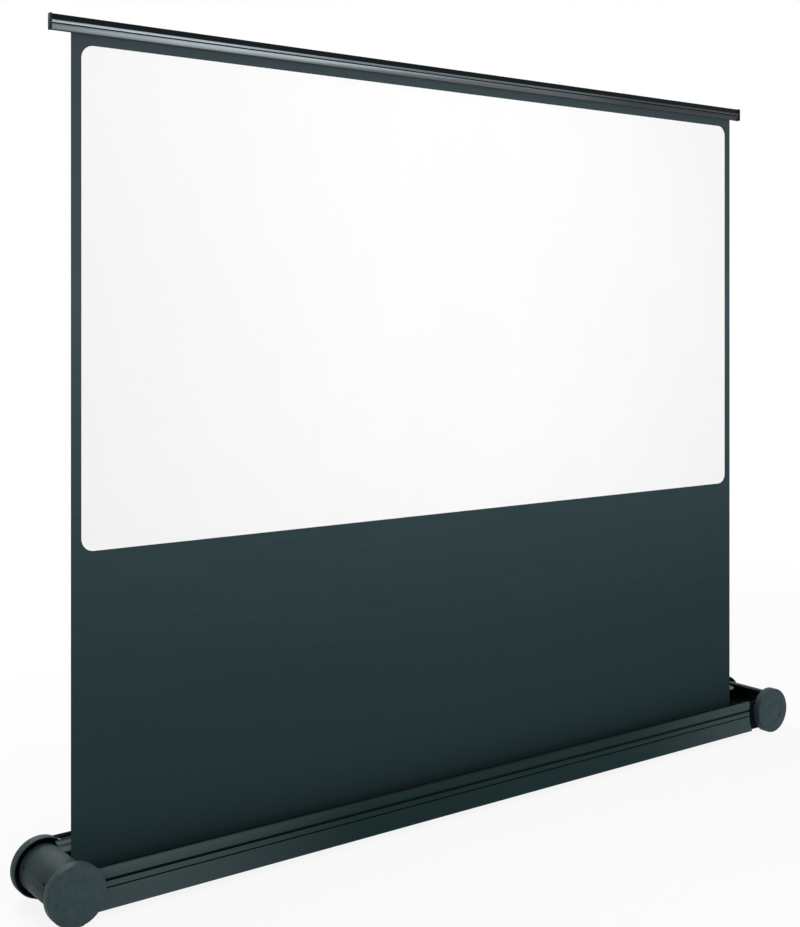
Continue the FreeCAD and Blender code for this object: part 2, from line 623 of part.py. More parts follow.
def foot(side):
    """Round foot at the left end: a cup with a plain bevelled face, flat where its pad goes."""
    x = -DISC_MIDDLE_X
    floor_y = DISC_FACE_Y - DISC_FACE_WALL
    outline = [
        (0, RAIL_INNER_Y),
        (DISC_BOSS_RADIUS, RAIL_INNER_Y),
        (DISC_BOSS_RADIUS, floor_y),
        (DISC_RADIUS - DISC_RIM_WALL, floor_y),
        (DISC_RADIUS - DISC_RIM_WALL, DISC_BACK_Y),
        (DISC_RADIUS, DISC_BACK_Y),
        (DISC_RADIUS, DISC_FACE_Y - DISC_EDGE_BEVEL),
        (DISC_RADIUS - DISC_EDGE_BEVEL, DISC_FACE_Y),
        (0, DISC_FACE_Y),
    ]
    disc = turned_along_y(outline, x, side)
    for rib in disc_ribs(x, side, floor_y):
        disc = disc.fuse(rib)
    rod_end = side * (RAIL_INNER_Y + TIE_ROD_DEPTH_IN_BOSS)
    start = side * (RAIL_INNER_Y - OVERRUN)
    rod_y = (min(start, rod_end), max(start, rod_end))
    disc = disc.cut(rod_along_y(x, DISC_RADIUS, TIE_ROD_RADIUS, *rod_y))
    x_range = (x - DISC_RADIUS, x + DISC_RADIUS)
    y_range = (-DISC_FACE_Y - OVERRUN, DISC_FACE_Y + OVERRUN)
    return disc.cut(block(x_range, y_range, (-OVERRUN, FOOT_FLAT_HEIGHT))).removeSplitter()


def foot_pads():
    """Rubber pads under the two feet."""
    pads = []
    half = math.sqrt(DISC_RADIUS**2 - (DISC_RADIUS - FOOT_FLAT_HEIGHT) ** 2)
    x = -DISC_MIDDLE_X
    for side in (-1, 1):
        near = side * DISC_BACK_Y
        far = side * (DISC_FACE_Y - DISC_EDGE_BEVEL)
        y_range = (min(near, far), max(near, far))
        pads.append(block((x - half, x + half), y_range, (0, FOOT_FLAT_HEIGHT)))
    return joined(pads)


def foot_tie_rod():
    """Threaded rod through both cheeks that clamps the feet at the left end."""
    reach = RAIL_INNER_Y + TIE_ROD_DEPTH_IN_BOSS
    return rod_along_y(-DISC_MIDDLE_X, DISC_RADIUS, TIE_ROD_RADIUS, -reach, reach)


def wheel_axle():
    """Axle at the right end, with a thinner threaded end inside each wheel."""
    shoulder = nut_floor_y()
    reach = shoulder + NUT_HEIGHT
    body = rod_along_y(DISC_MIDDLE_X, DISC_RADIUS, AXLE_RADIUS, -shoulder, shoulder)
    thread = rod_along_y(DISC_MIDDLE_X, DISC_RADIUS, AXLE_THREAD_RADIUS, -reach, reach)
    return body.fuse(thread).removeSplitter()


def hub_floor_y():
    """Bottom of the round recess in a wheel's face that takes the hub cover."""
    return DISC_FACE_Y - HUB_COVER_SINK - HUB_COVER_THICKNESS


def nut_floor_y():
    """Outer end of the axle's thick part, just proud of the pocket for the nut."""
    return hub_floor_y() - NUT_HEIGHT - WHEEL_SIDE_CLEARANCE


def axle_nuts():
    """A hexagon nut on each end of the axle."""
    nuts = []
    corner = NUT_ACROSS_FLATS / math.sqrt(3)
    for side in (-1, 1):
        base_y = side * nut_floor_y()
        corners = []
        for index in range(NUT_SIDES):
            angle = math.radians(360 * index / NUT_SIDES)
            x = DISC_MIDDLE_X + corner * math.cos(angle)
            z = DISC_RADIUS + corner * math.sin(angle)
            corners.append(Vector(x, base_y, z))
        face = Part.Face(Part.makePolygon(corners + corners[:1]))
        nut = face.extrude(Vector(0, side * NUT_HEIGHT, 0))
        reach = abs(base_y) + NUT_HEIGHT + OVERRUN
        nuts.append(nut.cut(rod_along_y(DISC_MIDDLE_X, DISC_RADIUS, AXLE_THREAD_RADIUS, -reach, reach)))
    return joined(nuts)


def wheel(side):
    """Wheel at the right end: a cup with a bush bore, a nut pocket and a recess for its cover."""
    x = DISC_MIDDLE_X
    floor_y = DISC_FACE_Y - WHEEL_FACE_WALL
    bore = AXLE_RADIUS + RUNNING_CLEARANCE + WHEEL_BUSH_WALL
    pocket_y = nut_floor_y() - WHEEL_SIDE_CLEARANCE
    outline = [
        (bore, RAIL_INNER_Y + WHEEL_SIDE_CLEARANCE),
        (DISC_BOSS_RADIUS, RAIL_INNER_Y + WHEEL_SIDE_CLEARANCE),
        (DISC_BOSS_RADIUS, floor_y),
        (DISC_RADIUS - DISC_RIM_WALL, floor_y),
        (DISC_RADIUS - DISC_RIM_WALL, DISC_BACK_Y),
        (DISC_RADIUS, DISC_BACK_Y),
        (DISC_RADIUS, DISC_FACE_Y - DISC_EDGE_BEVEL),
        (DISC_RADIUS - DISC_EDGE_BEVEL, DISC_FACE_Y),
        (HUB_RECESS_RADIUS, DISC_FACE_Y),
        (HUB_RECESS_RADIUS, hub_floor_y()),
        (NUT_POCKET_RADIUS, hub_floor_y()),
        (NUT_POCKET_RADIUS, pocket_y),
        (bore, pocket_y),
    ]
    disc = turned_along_y(outline, x, side)
    for rib in disc_ribs(x, side, floor_y):
        clear = side * (floor_y - DISC_RIB_DEPTH - OVERRUN)
        end = side * (floor_y + OVERRUN)
        core_y = (min(clear, end), max(clear, end))
        core = rod_along_y(x, DISC_RADIUS, DISC_BOSS_RADIUS - RIB_BITE, *core_y)
        disc = disc.fuse(rib.cut(core))
    return disc.removeSplitter()


def wheel_bush(side):
    """Plain bush pressed into a wheel's boss."""
    near = side * (RAIL_INNER_Y + WHEEL_SIDE_CLEARANCE)
    far = side * (nut_floor_y() - WHEEL_SIDE_CLEARANCE)
    y_range = (min(near, far), max(near, far))
    inner = AXLE_RADIUS + RUNNING_CLEARANCE
    tube = rod_along_y(DISC_MIDDLE_X, DISC_RADIUS, inner + WHEEL_BUSH_WALL, *y_range)
    return tube.cut(rod_along_y(DISC_MIDDLE_X, DISC_RADIUS, inner, *y_range))


def hub_cover(side):
    """Round cover that snaps into a wheel's face over the axle nut."""
    near = side * hub_floor_y()
    far = side * (DISC_FACE_Y - HUB_COVER_SINK)
    y_range = (min(near, far), max(near, far))
    return rod_along_y(DISC_MIDDLE_X, DISC_RADIUS, HUB_RECESS_RADIUS - SCREW_CLEARANCE, *y_range)


def roller_bracket(end):
    """Upright plate across the case that holds one end of the roller."""
    x_near = LEFT_BRACKET_X if end < 0 else RIGHT_BRACKET_X
    x_far = x_near + end * ROLLER_BRACKET_THICKNESS
    x_range = (min(x_near, x_far), max(x_near, x_far))
    plate = block(x_range, (-CHEEK_INNER_Y, CHEEK_INNER_Y), (FLOOR_TOP_Z, ROLLER_BRACKET_TOP_Z))
    journal = LEFT_JOURNAL_RADIUS if end < 0 else RIGHT_JOURNAL_RADIUS
    hole_x = (x_range[0] - OVERRUN, x_range[1] + OVERRUN)
    hole = rod_along_x(ROLLER_Y, ROLLER_Z, journal + RUNNING_CLEARANCE, *hole_x)
    return plate.cut(hole)


def roller_tube():
    """Aluminium tube that the fabric winds on."""
    outer = rod_along_x(ROLLER_Y, ROLLER_Z, ROLLER_RADIUS, ROLLER_LEFT_X, ROLLER_RIGHT_X)
    inner_x = (ROLLER_LEFT_X - OVERRUN, ROLLER_RIGHT_X + OVERRUN)
    return outer.cut(rod_along_x(ROLLER_Y, ROLLER_Z, ROLLER_RADIUS - ROLLER_WALL, *inner_x))


def fabric_roll():
    """Turns of fabric that stay on the roller when the screen is up."""
    outer = rod_along_x(ROLLER_Y, ROLLER_Z, FABRIC_ROLL_RADIUS, FABRIC_LEFT_X, FABRIC_RIGHT_X)
    inner_x = (FABRIC_LEFT_X - OVERRUN, FABRIC_RIGHT_X + OVERRUN)
    return outer.cut(rod_along_x(ROLLER_Y, ROLLER_Z, ROLLER_RADIUS, *inner_x))


def left_roller_plug():
    """Plug in the roller's left end, with the journal that turns in the bracket."""
    flange_x = ROLLER_LEFT_X - ROLLER_FLANGE
    spigot_x = (ROLLER_LEFT_X, ROLLER_LEFT_X + PLUG_SPIGOT_LENGTH)
    journal_x = LEFT_BRACKET_X - ROLLER_BRACKET_THICKNESS - ROLLER_FLANGE
    plug = rod_along_x(ROLLER_Y, ROLLER_Z, ROLLER_RADIUS, flange_x, ROLLER_LEFT_X)
    plug = plug.fuse(rod_along_x(ROLLER_Y, ROLLER_Z, ROLLER_RADIUS - ROLLER_WALL, *spigot_x))
    journal = rod_along_x(ROLLER_Y, ROLLER_Z, LEFT_JOURNAL_RADIUS, journal_x, flange_x)
    return plug.fuse(journal).removeSplitter()


def right_roller_plug():
    """Plug in the roller's right end: a hollow journal through which the spring's shaft passes."""
    flange_x = ROLLER_RIGHT_X + ROLLER_FLANGE
    spigot_x = (ROLLER_RIGHT_X - PLUG_SPIGOT_LENGTH, ROLLER_RIGHT_X)
    journal_x = (flange_x, brake_drum_x()[1])
    plug = rod_along_x(ROLLER_Y, ROLLER_Z, ROLLER_RADIUS, ROLLER_RIGHT_X, flange_x)
    plug = plug.fuse(rod_along_x(ROLLER_Y, ROLLER_Z, ROLLER_RADIUS - ROLLER_WALL, *spigot_x))
    plug = plug.fuse(rod_along_x(ROLLER_Y, ROLLER_Z, RIGHT_JOURNAL_RADIUS, *journal_x))
    bore_x = (spigot_x[0] - OVERRUN, journal_x[1] + OVERRUN)
    bore = rod_along_x(ROLLER_Y, ROLLER_Z, SPRING_SHAFT_RADIUS + RUNNING_CLEARANCE, *bore_x)
    return plug.removeSplitter().cut(bore)


def brake_drum_x():
    """Where the brake drum sits on the right journal, just past the bracket."""
    start = RIGHT_BRACKET_X + ROLLER_BRACKET_THICKNESS + BRAKE_COVER_GAP
    return (start, start + BRAKE_DRUM_WIDTH)


def brake_drum():
    """Drum on the roller's journal that slows the fabric on its way back."""
    drum = rod_along_x(ROLLER_Y, ROLLER_Z, BRAKE_DRUM_RADIUS, *brake_drum_x())
    start, stop = brake_drum_x()
    bore_x = (start - OVERRUN, stop + OVERRUN)
    return drum.cut(rod_along_x(ROLLER_Y, ROLLER_Z, RIGHT_JOURNAL_RADIUS, *bore_x))


def brake_cover():
    """Cup over the brake drum, closed at its outer end, that also holds the spring's shaft."""
    start = RIGHT_BRACKET_X + ROLLER_BRACKET_THICKNESS
    stop = start + BRAKE_COVER_LENGTH
    inner = BRAKE_DRUM_RADIUS + BRAKE_COVER_GAP
    cup = rod_along_x(ROLLER_Y, ROLLER_Z, inner + BRAKE_COVER_WALL, start, stop)
    end_wall = brake_drum_x()[1] + BRAKE_COVER_GAP
    cup = cup.cut(rod_along_x(ROLLER_Y, ROLLER_Z, inner, start - OVERRUN, end_wall))
    return cup.cut(rod_along_x(ROLLER_Y, ROLLER_Z, SPRING_SHAFT_RADIUS, start, stop + OVERRUN))


def spring_shaft_left_x():
    """Inner end of the spring's fixed shaft."""
    return ROLLER_RIGHT_X - SPRING_SHAFT_LENGTH


def spring_shaft():
    """Fixed shaft inside the roller that the spring winds round."""
    stop = RIGHT_BRACKET_X + ROLLER_BRACKET_THICKNESS + BRAKE_COVER_LENGTH
    return rod_along_x(ROLLER_Y, ROLLER_Z, SPRING_SHAFT_RADIUS, spring_shaft_left_x(), stop)


def spring_anchor():
    """Plug fixed inside the roller tube that takes the spring's far end and steadies its shaft."""
    start = spring_shaft_left_x()
    stop = start + SPRING_ANCHOR_LENGTH
    plug = rod_along_x(ROLLER_Y, ROLLER_Z, ROLLER_RADIUS - ROLLER_WALL, start, stop)
    bore = SPRING_SHAFT_RADIUS + RUNNING_CLEARANCE
    return plug.cut(rod_along_x(ROLLER_Y, ROLLER_Z, bore, start - OVERRUN, stop + OVERRUN))


def roller_spring():
    """Winding spring on its shaft inside the roller."""
    start = spring_shaft_left_x() + SPRING_ANCHOR_LENGTH + ROLLER_FLANGE
    stop = ROLLER_RIGHT_X - PLUG_SPIGOT_LENGTH - ROLLER_SPRING_END_GAP
    sleeve = rod_along_x(ROLLER_Y, ROLLER_Z, SPRING_SHAFT_RADIUS + ROLLER_SPRING_WALL, start, stop)
    bore_x = (start - OVERRUN, stop + OVERRUN)
    return sleeve.cut(rod_along_x(ROLLER_Y, ROLLER_Z, SPRING_SHAFT_RADIUS, *bore_x))


def shoulder_x(side):
    """Where an arm's lower pivot stands: the left (-1) or the right (1) one."""
    return FABRIC_MIDDLE_X + side * SHOULDER_SPACING / 2


def elbow_x(side):
    """Where the joint between a lower and an upper arm stands with the screen up."""
    return shoulder_x(side) + side * ELBOW_REACH


def shoulder_screw_places():
    """Places (x, y) of the screws through the base of the arm bracket."""
    half = SHOULDER_BRACKET_LENGTH / 2 - BRACKET_SCREW_INSET
    middle_y = (SHOULDER_BRACKET_Y + SHOULDER_BRACKET_REAR_Y + SHOULDER_BRACKET_WALL) / 2
    return [(FABRIC_MIDDLE_X + side * half, middle_y) for side in (-1, 1)]


def shoulder_bracket():
    """Channel on the floor of the case that holds the lower ends of the arms."""
    half = SHOULDER_BRACKET_LENGTH / 2
    x_range = (FABRIC_MIDDLE_X - half, FABRIC_MIDDLE_X + half)
    rear_y = SHOULDER_BRACKET_REAR_Y + SHOULDER_BRACKET_WALL
    base_top = FLOOR_TOP_Z + SHOULDER_BRACKET_WALL
    channel = block(x_range, (SHOULDER_BRACKET_Y, rear_y), (FLOOR_TOP_Z, SHOULDER_BRACKET_TOP_Z))
    inner_y = (SHOULDER_BRACKET_Y + SHOULDER_BRACKET_WALL, SHOULDER_BRACKET_REAR_Y)
    inner_x = (x_range[0] - OVERRUN, x_range[1] + OVERRUN)
    channel = channel.cut(block(inner_x, inner_y, (base_top, SHOULDER_BRACKET_TOP_Z + OVERRUN)))
    for side in (-1, 1):
        reach_y = (SHOULDER_BRACKET_Y - OVERRUN, rear_y + OVERRUN)
        channel = channel.cut(rod_along_y(shoulder_x(side), SHOULDER_Z, ARM_PIVOT_RADIUS, *reach_y))
    for x, y in shoulder_screw_places():
        hole_radius = SCREW_RADIUS + SCREW_CLEARANCE
        channel = channel.cut(rod_along_z(x, y, hole_radius, 0, base_top + OVERRUN))
    return channel


def shoulder_bracket_screws():
    """Screws down through the bracket's base into the floor plate."""
    length = SHOULDER_BRACKET_WALL + FLOOR_PLATE_THICKNESS
    base_top = FLOOR_TOP_Z + SHOULDER_BRACKET_WALL
    return joined([screw_along_z(x, y, base_top, -1, length) for x, y in shoulder_screw_places()])


def shoulder_pin(side):
    """Pin across the bracket on which a lower arm turns."""
    x = shoulder_x(side)
    rear_y = SHOULDER_BRACKET_REAR_Y + SHOULDER_BRACKET_WALL
    pin = rod_along_y(x, SHOULDER_Z, ARM_PIVOT_RADIUS, SHOULDER_BRACKET_Y, rear_y)
    head_y = rear_y + ARM_HEAD_HEIGHT
    return pin.fuse(rod_along_y(x, SHOULDER_Z, ARM_HEAD_RADIUS, rear_y, head_y)).removeSplitter()


def shoulder_spring(side):
    """Torsion spring round a shoulder pin, behind the arm, that helps the screen up."""
    x = shoulder_x(side)
    y_from = LOWER_ARM_Y + ARM_THICKNESS + ARM_LAYER_GAP
    y_to = SHOULDER_BRACKET_REAR_Y
    inner = ARM_PIVOT_RADIUS
    sleeve = rod_along_y(x, SHOULDER_Z, inner + ARM_SPRING_WALL, y_from, y_to)
    return sleeve.cut(rod_along_y(x, SHOULDER_Z, inner, y_from - OVERRUN, y_to + OVERRUN))


def rest_post():
    """Post in the middle of the bracket that the lowered bar comes down to."""
    half = REST_POST_WIDTH / 2
    base_top = FLOOR_TOP_Z + SHOULDER_BRACKET_WALL
    top = FOLDED_BAR_Z - REST_CLEARANCE - REST_PAD_HEIGHT
    x_range = (FABRIC_MIDDLE_X - half, FABRIC_MIDDLE_X + half)
    return block(x_range, (REST_POST_Y, REST_POST_Y + REST_POST_THICKNESS), (base_top, top))


def rest_pad():
    """Rubber pad on top of the post."""
    half = REST_POST_WIDTH / 2
    top = FOLDED_BAR_Z - REST_CLEARANCE
    x_range = (FABRIC_MIDDLE_X - half, FABRIC_MIDDLE_X + half)
    y_range = (REST_POST_Y, REST_POST_Y + REST_POST_THICKNESS)
    return block(x_range, y_range, (top - REST_PAD_HEIGHT, top))


def arm(start, y_front, hole_radii):
    """A flat channel with round ends, upright from its lower pivot, with a hole at each pivot."""
    x, z = start
    half = ARM_WIDTH / 2
    y_range = (y_front, y_front + ARM_THICKNESS)
    bar = block((x - half, x + half), y_range, (z, z + ARM_LENGTH))
    for pivot_z in (z, z + ARM_LENGTH):
        bar = bar.fuse(rod_along_y(x, pivot_z, half, *y_range))
    bar = bar.removeSplitter()
    inner = half - ARM_WALL
    pocket_y = (y_front + ARM_WALL, y_front + ARM_THICKNESS + OVERRUN)
    pocket_z = (z + ARM_WIDTH, z + ARM_LENGTH - ARM_WIDTH)
    bar = bar.cut(block((x - inner, x + inner), pocket_y, pocket_z))
    for pivot_z, radius in zip((z, z + ARM_LENGTH), hole_radii):
        hole_y = (y_range[0] - OVERRUN, y_range[1] + OVERRUN)
        bar = bar.cut(rod_along_y(x, pivot_z, radius, *hole_y))
    return bar


def lower_arm(side):
    """Arm from the bracket up and out to the elbow."""
    x = shoulder_x(side)
    running = ARM_PIVOT_RADIUS + RUNNING_CLEARANCE
    bar = arm((x, SHOULDER_Z), LOWER_ARM_Y, (running, ARM_PIVOT_RADIUS))
    lean = side * (90 - RAISED_ANGLE)
    bar.rotate(Vector(x, 0, SHOULDER_Z), Vector(0, 1, 0), lean)
    return bar


def upper_arm(side):
    """Arm from the elbow up and back in to the bar."""
    x = elbow_x(side)
    running = ARM_PIVOT_RADIUS + RUNNING_CLEARANCE
    top_radius = running if side < 0 else ARM_PIVOT_RADIUS + OPEN_PIVOT_CLEARANCE
    bar = arm((x, ELBOW_Z), UPPER_ARM_Y, (running, top_radius))
    lean = -side * (90 - RAISED_ANGLE)
    bar.rotate(Vector(x, 0, ELBOW_Z), Vector(0, 1, 0), lean)
    return bar


def elbow_pin(side):
    """Pin fixed in a lower arm, with a head in front and a ring behind the upper arm."""
    x = elbow_x(side)
    rear_y = UPPER_ARM_Y + ARM_THICKNESS + WASHER_CLEARANCE
    pin_y = (LOWER_ARM_Y - ARM_HEAD_HEIGHT, rear_y + ARM_HEAD_HEIGHT)
    pin = rod_along_y(x, ELBOW_Z, ARM_PIVOT_RADIUS, *pin_y)
    front = rod_along_y(x, ELBOW_Z, ARM_HEAD_RADIUS, LOWER_ARM_Y - ARM_HEAD_HEIGHT, LOWER_ARM_Y)
    rear = rod_along_y(x, ELBOW_Z, ARM_HEAD_RADIUS, rear_y, rear_y + ARM_HEAD_HEIGHT)
    return pin.fuse(front).fuse(rear).removeSplitter()


def elbow_washer(side):
    """Plastic washer between the two arms of an elbow, fixed to the upper one."""
    x = elbow_x(side)
    y_range = (LOWER_ARM_Y + ARM_THICKNESS + WASHER_CLEARANCE, UPPER_ARM_Y)
    ring = rod_along_y(x, ELBOW_Z, ARM_WIDTH / 2 - ARM_WALL, *y_range)
    return ring.cut(rod_along_y(x, ELBOW_Z, ARM_PIVOT_RADIUS + RUNNING_CLEARANCE, *y_range))


def bar_outline():
    """The bar's (y, z) outline: slanted lower face, groove and rib in front, slot below."""
    groove_bottom = BAR_BOTTOM_Z + BAR_LOWER_FACE_HEIGHT
    groove_top = groove_bottom + BAR_GROOVE_HEIGHT
    rib_top = groove_top + BAR_RIB_HEIGHT
    corner_z = BAR_TOP_Z - BAR_CORNER_RADIUS
    radii = (BAR_CORNER_RADIUS, BAR_CORNER_RADIUS)
    front_middle = (BAR_FRONT_Y + BAR_CORNER_RADIUS, corner_z)
    rear_middle = (BAR_REAR_Y - BAR_CORNER_RADIUS, corner_z)
    front_corner = arc_points(front_middle, radii, (180, 90), QUARTER_STEPS)
    rear_corner = arc_points(rear_middle, radii, (90, 0), QUARTER_STEPS)
    return [
        (BAR_FRONT_Y + BAR_LOWER_FACE_SLANT, BAR_BOTTOM_Z),
        (BAR_FRONT_Y, groove_bottom),
        (BAR_FRONT_Y + BAR_GROOVE_DEPTH, groove_bottom),
        (BAR_FRONT_Y + BAR_GROOVE_DEPTH, groove_top),
        (BAR_FRONT_Y - BAR_RIB_PROUD, groove_top),
        (BAR_FRONT_Y - BAR_RIB_PROUD, rib_top),
        (BAR_FRONT_Y, rib_top + BAR_RIB_PROUD),
        *front_corner,
        *rear_corner,
        (BAR_REAR_Y, BAR_BOTTOM_Z),
    ]


def bar_x():
    """Both ends of the bar's extrusion, inside its caps."""
    left = FABRIC_LEFT_X - BAR_LEFT_OVERHANG + BAR_CAP_THICKNESS
    right = FABRIC_RIGHT_X + BAR_RIGHT_OVERHANG - BAR_CAP_THICKNESS
    return (left, right)


def top_bar():
    """Hollow bar along the fabric's top edge, with a round slot below for the fabric's rod."""
    x_from, x_to = bar_x()
    cut_x = (x_from - OVERRUN, x_to + OVERRUN)
    bar = section_along_x(bar_outline(), x_from, x_to)
    chamber_y = (BAR_FRONT_Y + BAR_GROOVE_DEPTH + BAR_WALL, BAR_REAR_Y - BAR_WALL)
    chamber_floor = ROD_Z + FABRIC_ROD_RADIUS + ROD_CLEARANCE + BAR_WALL
    chamber_z = (chamber_floor, BAR_TOP_Z - BAR_WALL)
    bar = bar.cut(block(cut_x, chamber_y, chamber_z))
    bar = bar.cut(rod_along_x(0, ROD_Z, FABRIC_ROD_RADIUS + ROD_CLEARANCE, *cut_x))
    half_slot = BAR_SLOT_WIDTH / 2
    return bar.cut(block(cut_x, (-half_slot, half_slot), (BAR_BOTTOM_Z - OVERRUN, ROD_Z)))


def bar_cap(end):
    """Plate that closes one end of the bar, a little proud of it all round."""
    inner, outer = bar_x()
    near = inner if end < 0 else outer
    far = near + end * BAR_CAP_THICKNESS
    y_from = BAR_FRONT_Y - BAR_RIB_PROUD - BAR_CAP_PROUD
    y_to = BAR_REAR_Y
    z_from = BAR_BOTTOM_Z - BAR_CAP_PROUD
    z_to = BAR_TOP_Z + BAR_CAP_PROUD
    radius = BAR_LOWER_FACE_SLANT
    radii = (radius, radius)
    outline = [
        *arc_points((y_from + radius, z_from + radius), radii, (270, 180), CAP_CORNER_STEPS),
        *arc_points((y_from + radius, z_to - radius), radii, (180, 90), CAP_CORNER_STEPS),
        *arc_points((y_to - radius, z_to - radius), radii, (90, 0), CAP_CORNER_STEPS),
        *arc_points((y_to - radius, z_from + radius), radii, (0, -90), CAP_CORNER_STEPS),
    ]
    return section_along_x(outline, min(near, far), max(near, far))


def fabric_rod():
    """Rod in the hem of the fabric, held in the bar's slot."""
    x_range = (FABRIC_LEFT_X, FABRIC_RIGHT_X)
    rod = rod_along_x(0, ROD_Z, FABRIC_ROD_RADIUS, *x_range)
    slot_y = (FABRIC_FRONT_Y - FABRIC_CLEARANCE, FABRIC_BACK_Y + FABRIC_CLEARANCE)
    hem = block((FABRIC_LEFT_X - OVERRUN, FABRIC_RIGHT_X + OVERRUN), slot_y, (BAR_BOTTOM_Z, ROD_Z))
    return rod.cut(hem)


def bar_bracket_screw_places():
    """Places (x, z) of the screws that hold the rear bracket to the bar."""
    half = BAR_BRACKET_LENGTH / 2 - BRACKET_SCREW_INSET
    z = BAR_TOP_Z - BRACKET_SCREW_INSET / 2 - SCREW_HEAD_RADIUS / 2
    return [(FABRIC_MIDDLE_X - half, z), (FABRIC_MIDDLE_X, z), (FABRIC_MIDDLE_X + half, z)]


def bar_bracket():
    """Plate on the back of the bar that takes the upper ends of the arms."""
    half = BAR_BRACKET_LENGTH / 2
    x_range = (FABRIC_MIDDLE_X - half, FABRIC_MIDDLE_X + half)
    y_range = (BAR_REAR_Y, BAR_REAR_Y + BAR_BRACKET_THICKNESS)
    plate = block(x_range, y_range, (BAR_BOTTOM_Z, BAR_TOP_Z))
    for x, z in bar_bracket_screw_places():
        hole_y = (y_range[0] - OVERRUN, y_range[1] + OVERRUN)
        plate = plate.cut(rod_along_y(x, z, SCREW_RADIUS + SCREW_CLEARANCE, *hole_y))
    for side in (-1, 1):
        pin_y = (y_range[0] - OVERRUN, y_range[1] + OVERRUN)
        plate = plate.cut(rod_along_y(shoulder_x(side), WRIST_Z, ARM_PIVOT_RADIUS, *pin_y))
    return plate


def bar_bracket_screws():
    """Screws of the rear bracket, with their shanks in the bar's back wall."""
    screws = []
    head_y = BAR_REAR_Y + BAR_BRACKET_THICKNESS
    for x, z in bar_bracket_screw_places():
        head = rod_along_y(x, z, SCREW_HEAD_RADIUS, head_y, head_y + SCREW_HEAD_HEIGHT)
        shank = rod_along_y(x, z, SCREW_RADIUS, BAR_REAR_Y, head_y)
        screws.append(head.fuse(shank).removeSplitter())
    return joined(screws)


def wrist_pin(side):
    """Pin fixed in the bar's bracket, with a collar before and a head behind the upper arm."""
    x = shoulder_x(side)
    collar_y = BAR_REAR_Y + BAR_BRACKET_THICKNESS
    head_y = UPPER_ARM_Y + ARM_THICKNESS + WASHER_CLEARANCE
    pin = rod_along_y(x, WRIST_Z, ARM_PIVOT_RADIUS, BAR_REAR_Y, head_y + ARM_HEAD_HEIGHT)
    collar = rod_along_y(x, WRIST_Z, ARM_HEAD_RADIUS, collar_y, UPPER_ARM_Y - WASHER_CLEARANCE)
    head = rod_along_y(x, WRIST_Z, ARM_HEAD_RADIUS, head_y, head_y + ARM_HEAD_HEIGHT)
    return pin.fuse(collar).fuse(head).removeSplitter()


def black_backing():
    """The fabric itself, black, from the roller up into the bar."""
    x_range = (FABRIC_LEFT_X, FABRIC_RIGHT_X)
    y_from = FABRIC_FRONT_Y + COATING_THICKNESS
    return block(x_range, (y_from, FABRIC_BACK_Y), (ROLLER_Z, ROD_Z - FABRIC_CLEARANCE))


def white_surface():
    """White projection coat on the front of the fabric, with rounded corners."""
    half = WHITE_WIDTH / 2
    x_range = (FABRIC_MIDDLE_X - half, FABRIC_MIDDLE_X + half)
    y_to = FABRIC_FRONT_Y + COATING_THICKNESS
    sheet = block(x_range, (FABRIC_FRONT_Y, y_to), (WHITE_BOTTOM_Z, WHITE_TOP_Z))
    corners = []
    for edge in sheet.Edges:
        if abs(edge.Vertexes[0].Y - edge.Vertexes[1].Y) > COATING_THICKNESS / 2:
            corners.append(edge)
    return sheet.makeFillet(WHITE_CORNER_RADIUS, corners)


def main():
    """Build every piece and save it."""
    os.makedirs("parts", exist_ok=True)
    pieces = {
        "front_rail": front_rail(),
        "rear_rail": rear_rail(),
        "floor_plate": floor_plate(),
        "left_end_cap": end_cap(-1),
        "right_end_cap": end_cap(1),
        "end_cap_screws": end_cap_screws(),
        "left_front_cheek": cheek(-1, -1),
        "left_rear_cheek": cheek(-1, 1),
        "right_front_cheek": cheek(1, -1),
        "right_rear_cheek": cheek(1, 1),
        "case_screws": case_screws(),
        "front_foot": foot(-1),
        "rear_foot": foot(1),
        "foot_pads": foot_pads(),
        "foot_tie_rod": foot_tie_rod(),
        "wheel_axle": wheel_axle(),
        "axle_nuts": axle_nuts(),
        "front_wheel": wheel(-1),
        "rear_wheel": wheel(1),
        "front_wheel_bush": wheel_bush(-1),
        "rear_wheel_bush": wheel_bush(1),
        "front_hub_cover": hub_cover(-1),
        "rear_hub_cover": hub_cover(1),
        "left_roller_bracket": roller_bracket(-1),
        "right_roller_bracket": roller_bracket(1),
        "roller_tube": roller_tube(),
        "fabric_roll": fabric_roll(),
        "left_roller_plug": left_roller_plug(),
        "right_roller_plug": right_roller_plug(),
        "brake_drum": brake_drum(),
        "brake_cover": brake_cover(),
        "spring_shaft": spring_shaft(),
        "spring_anchor": spring_anchor(),
        "roller_spring": roller_spring(),
        "shoulder_bracket": shoulder_bracket(),
        "shoulder_bracket_screws": shoulder_bracket_screws(),
        "left_shoulder_pin": shoulder_pin(-1),
        "right_shoulder_pin": shoulder_pin(1),
        "left_shoulder_spring": shoulder_spring(-1),
        "right_shoulder_spring": shoulder_spring(1),
        "bar_rest_post": rest_post(),
        "bar_rest_pad": rest_pad(),
        "lower_left_arm": lower_arm(-1),
        "lower_right_arm": lower_arm(1),
        "upper_left_arm": upper_arm(-1),
        "upper_right_arm": upper_arm(1),
        "left_elbow_pin": elbow_pin(-1),
        "right_elbow_pin": elbow_pin(1),
        "left_elbow_washer": elbow_washer(-1),
        "right_elbow_washer": elbow_washer(1),
        "top_bar": top_bar(),
        "left_bar_cap": bar_cap(-1),
        "right_bar_cap": bar_cap(1),
        "fabric_rod": fabric_rod(),
        "bar_bracket": bar_bracket(),
        "bar_bracket_screws": bar_bracket_screws(),
        "left_wrist_pin": wrist_pin(-1),
        "right_wrist_pin": wrist_pin(1),
        "black_backing": black_backing(),
        "white_surface": white_surface(),
    }
    for name, shape in pieces.items():
        write(name, shape)


main()
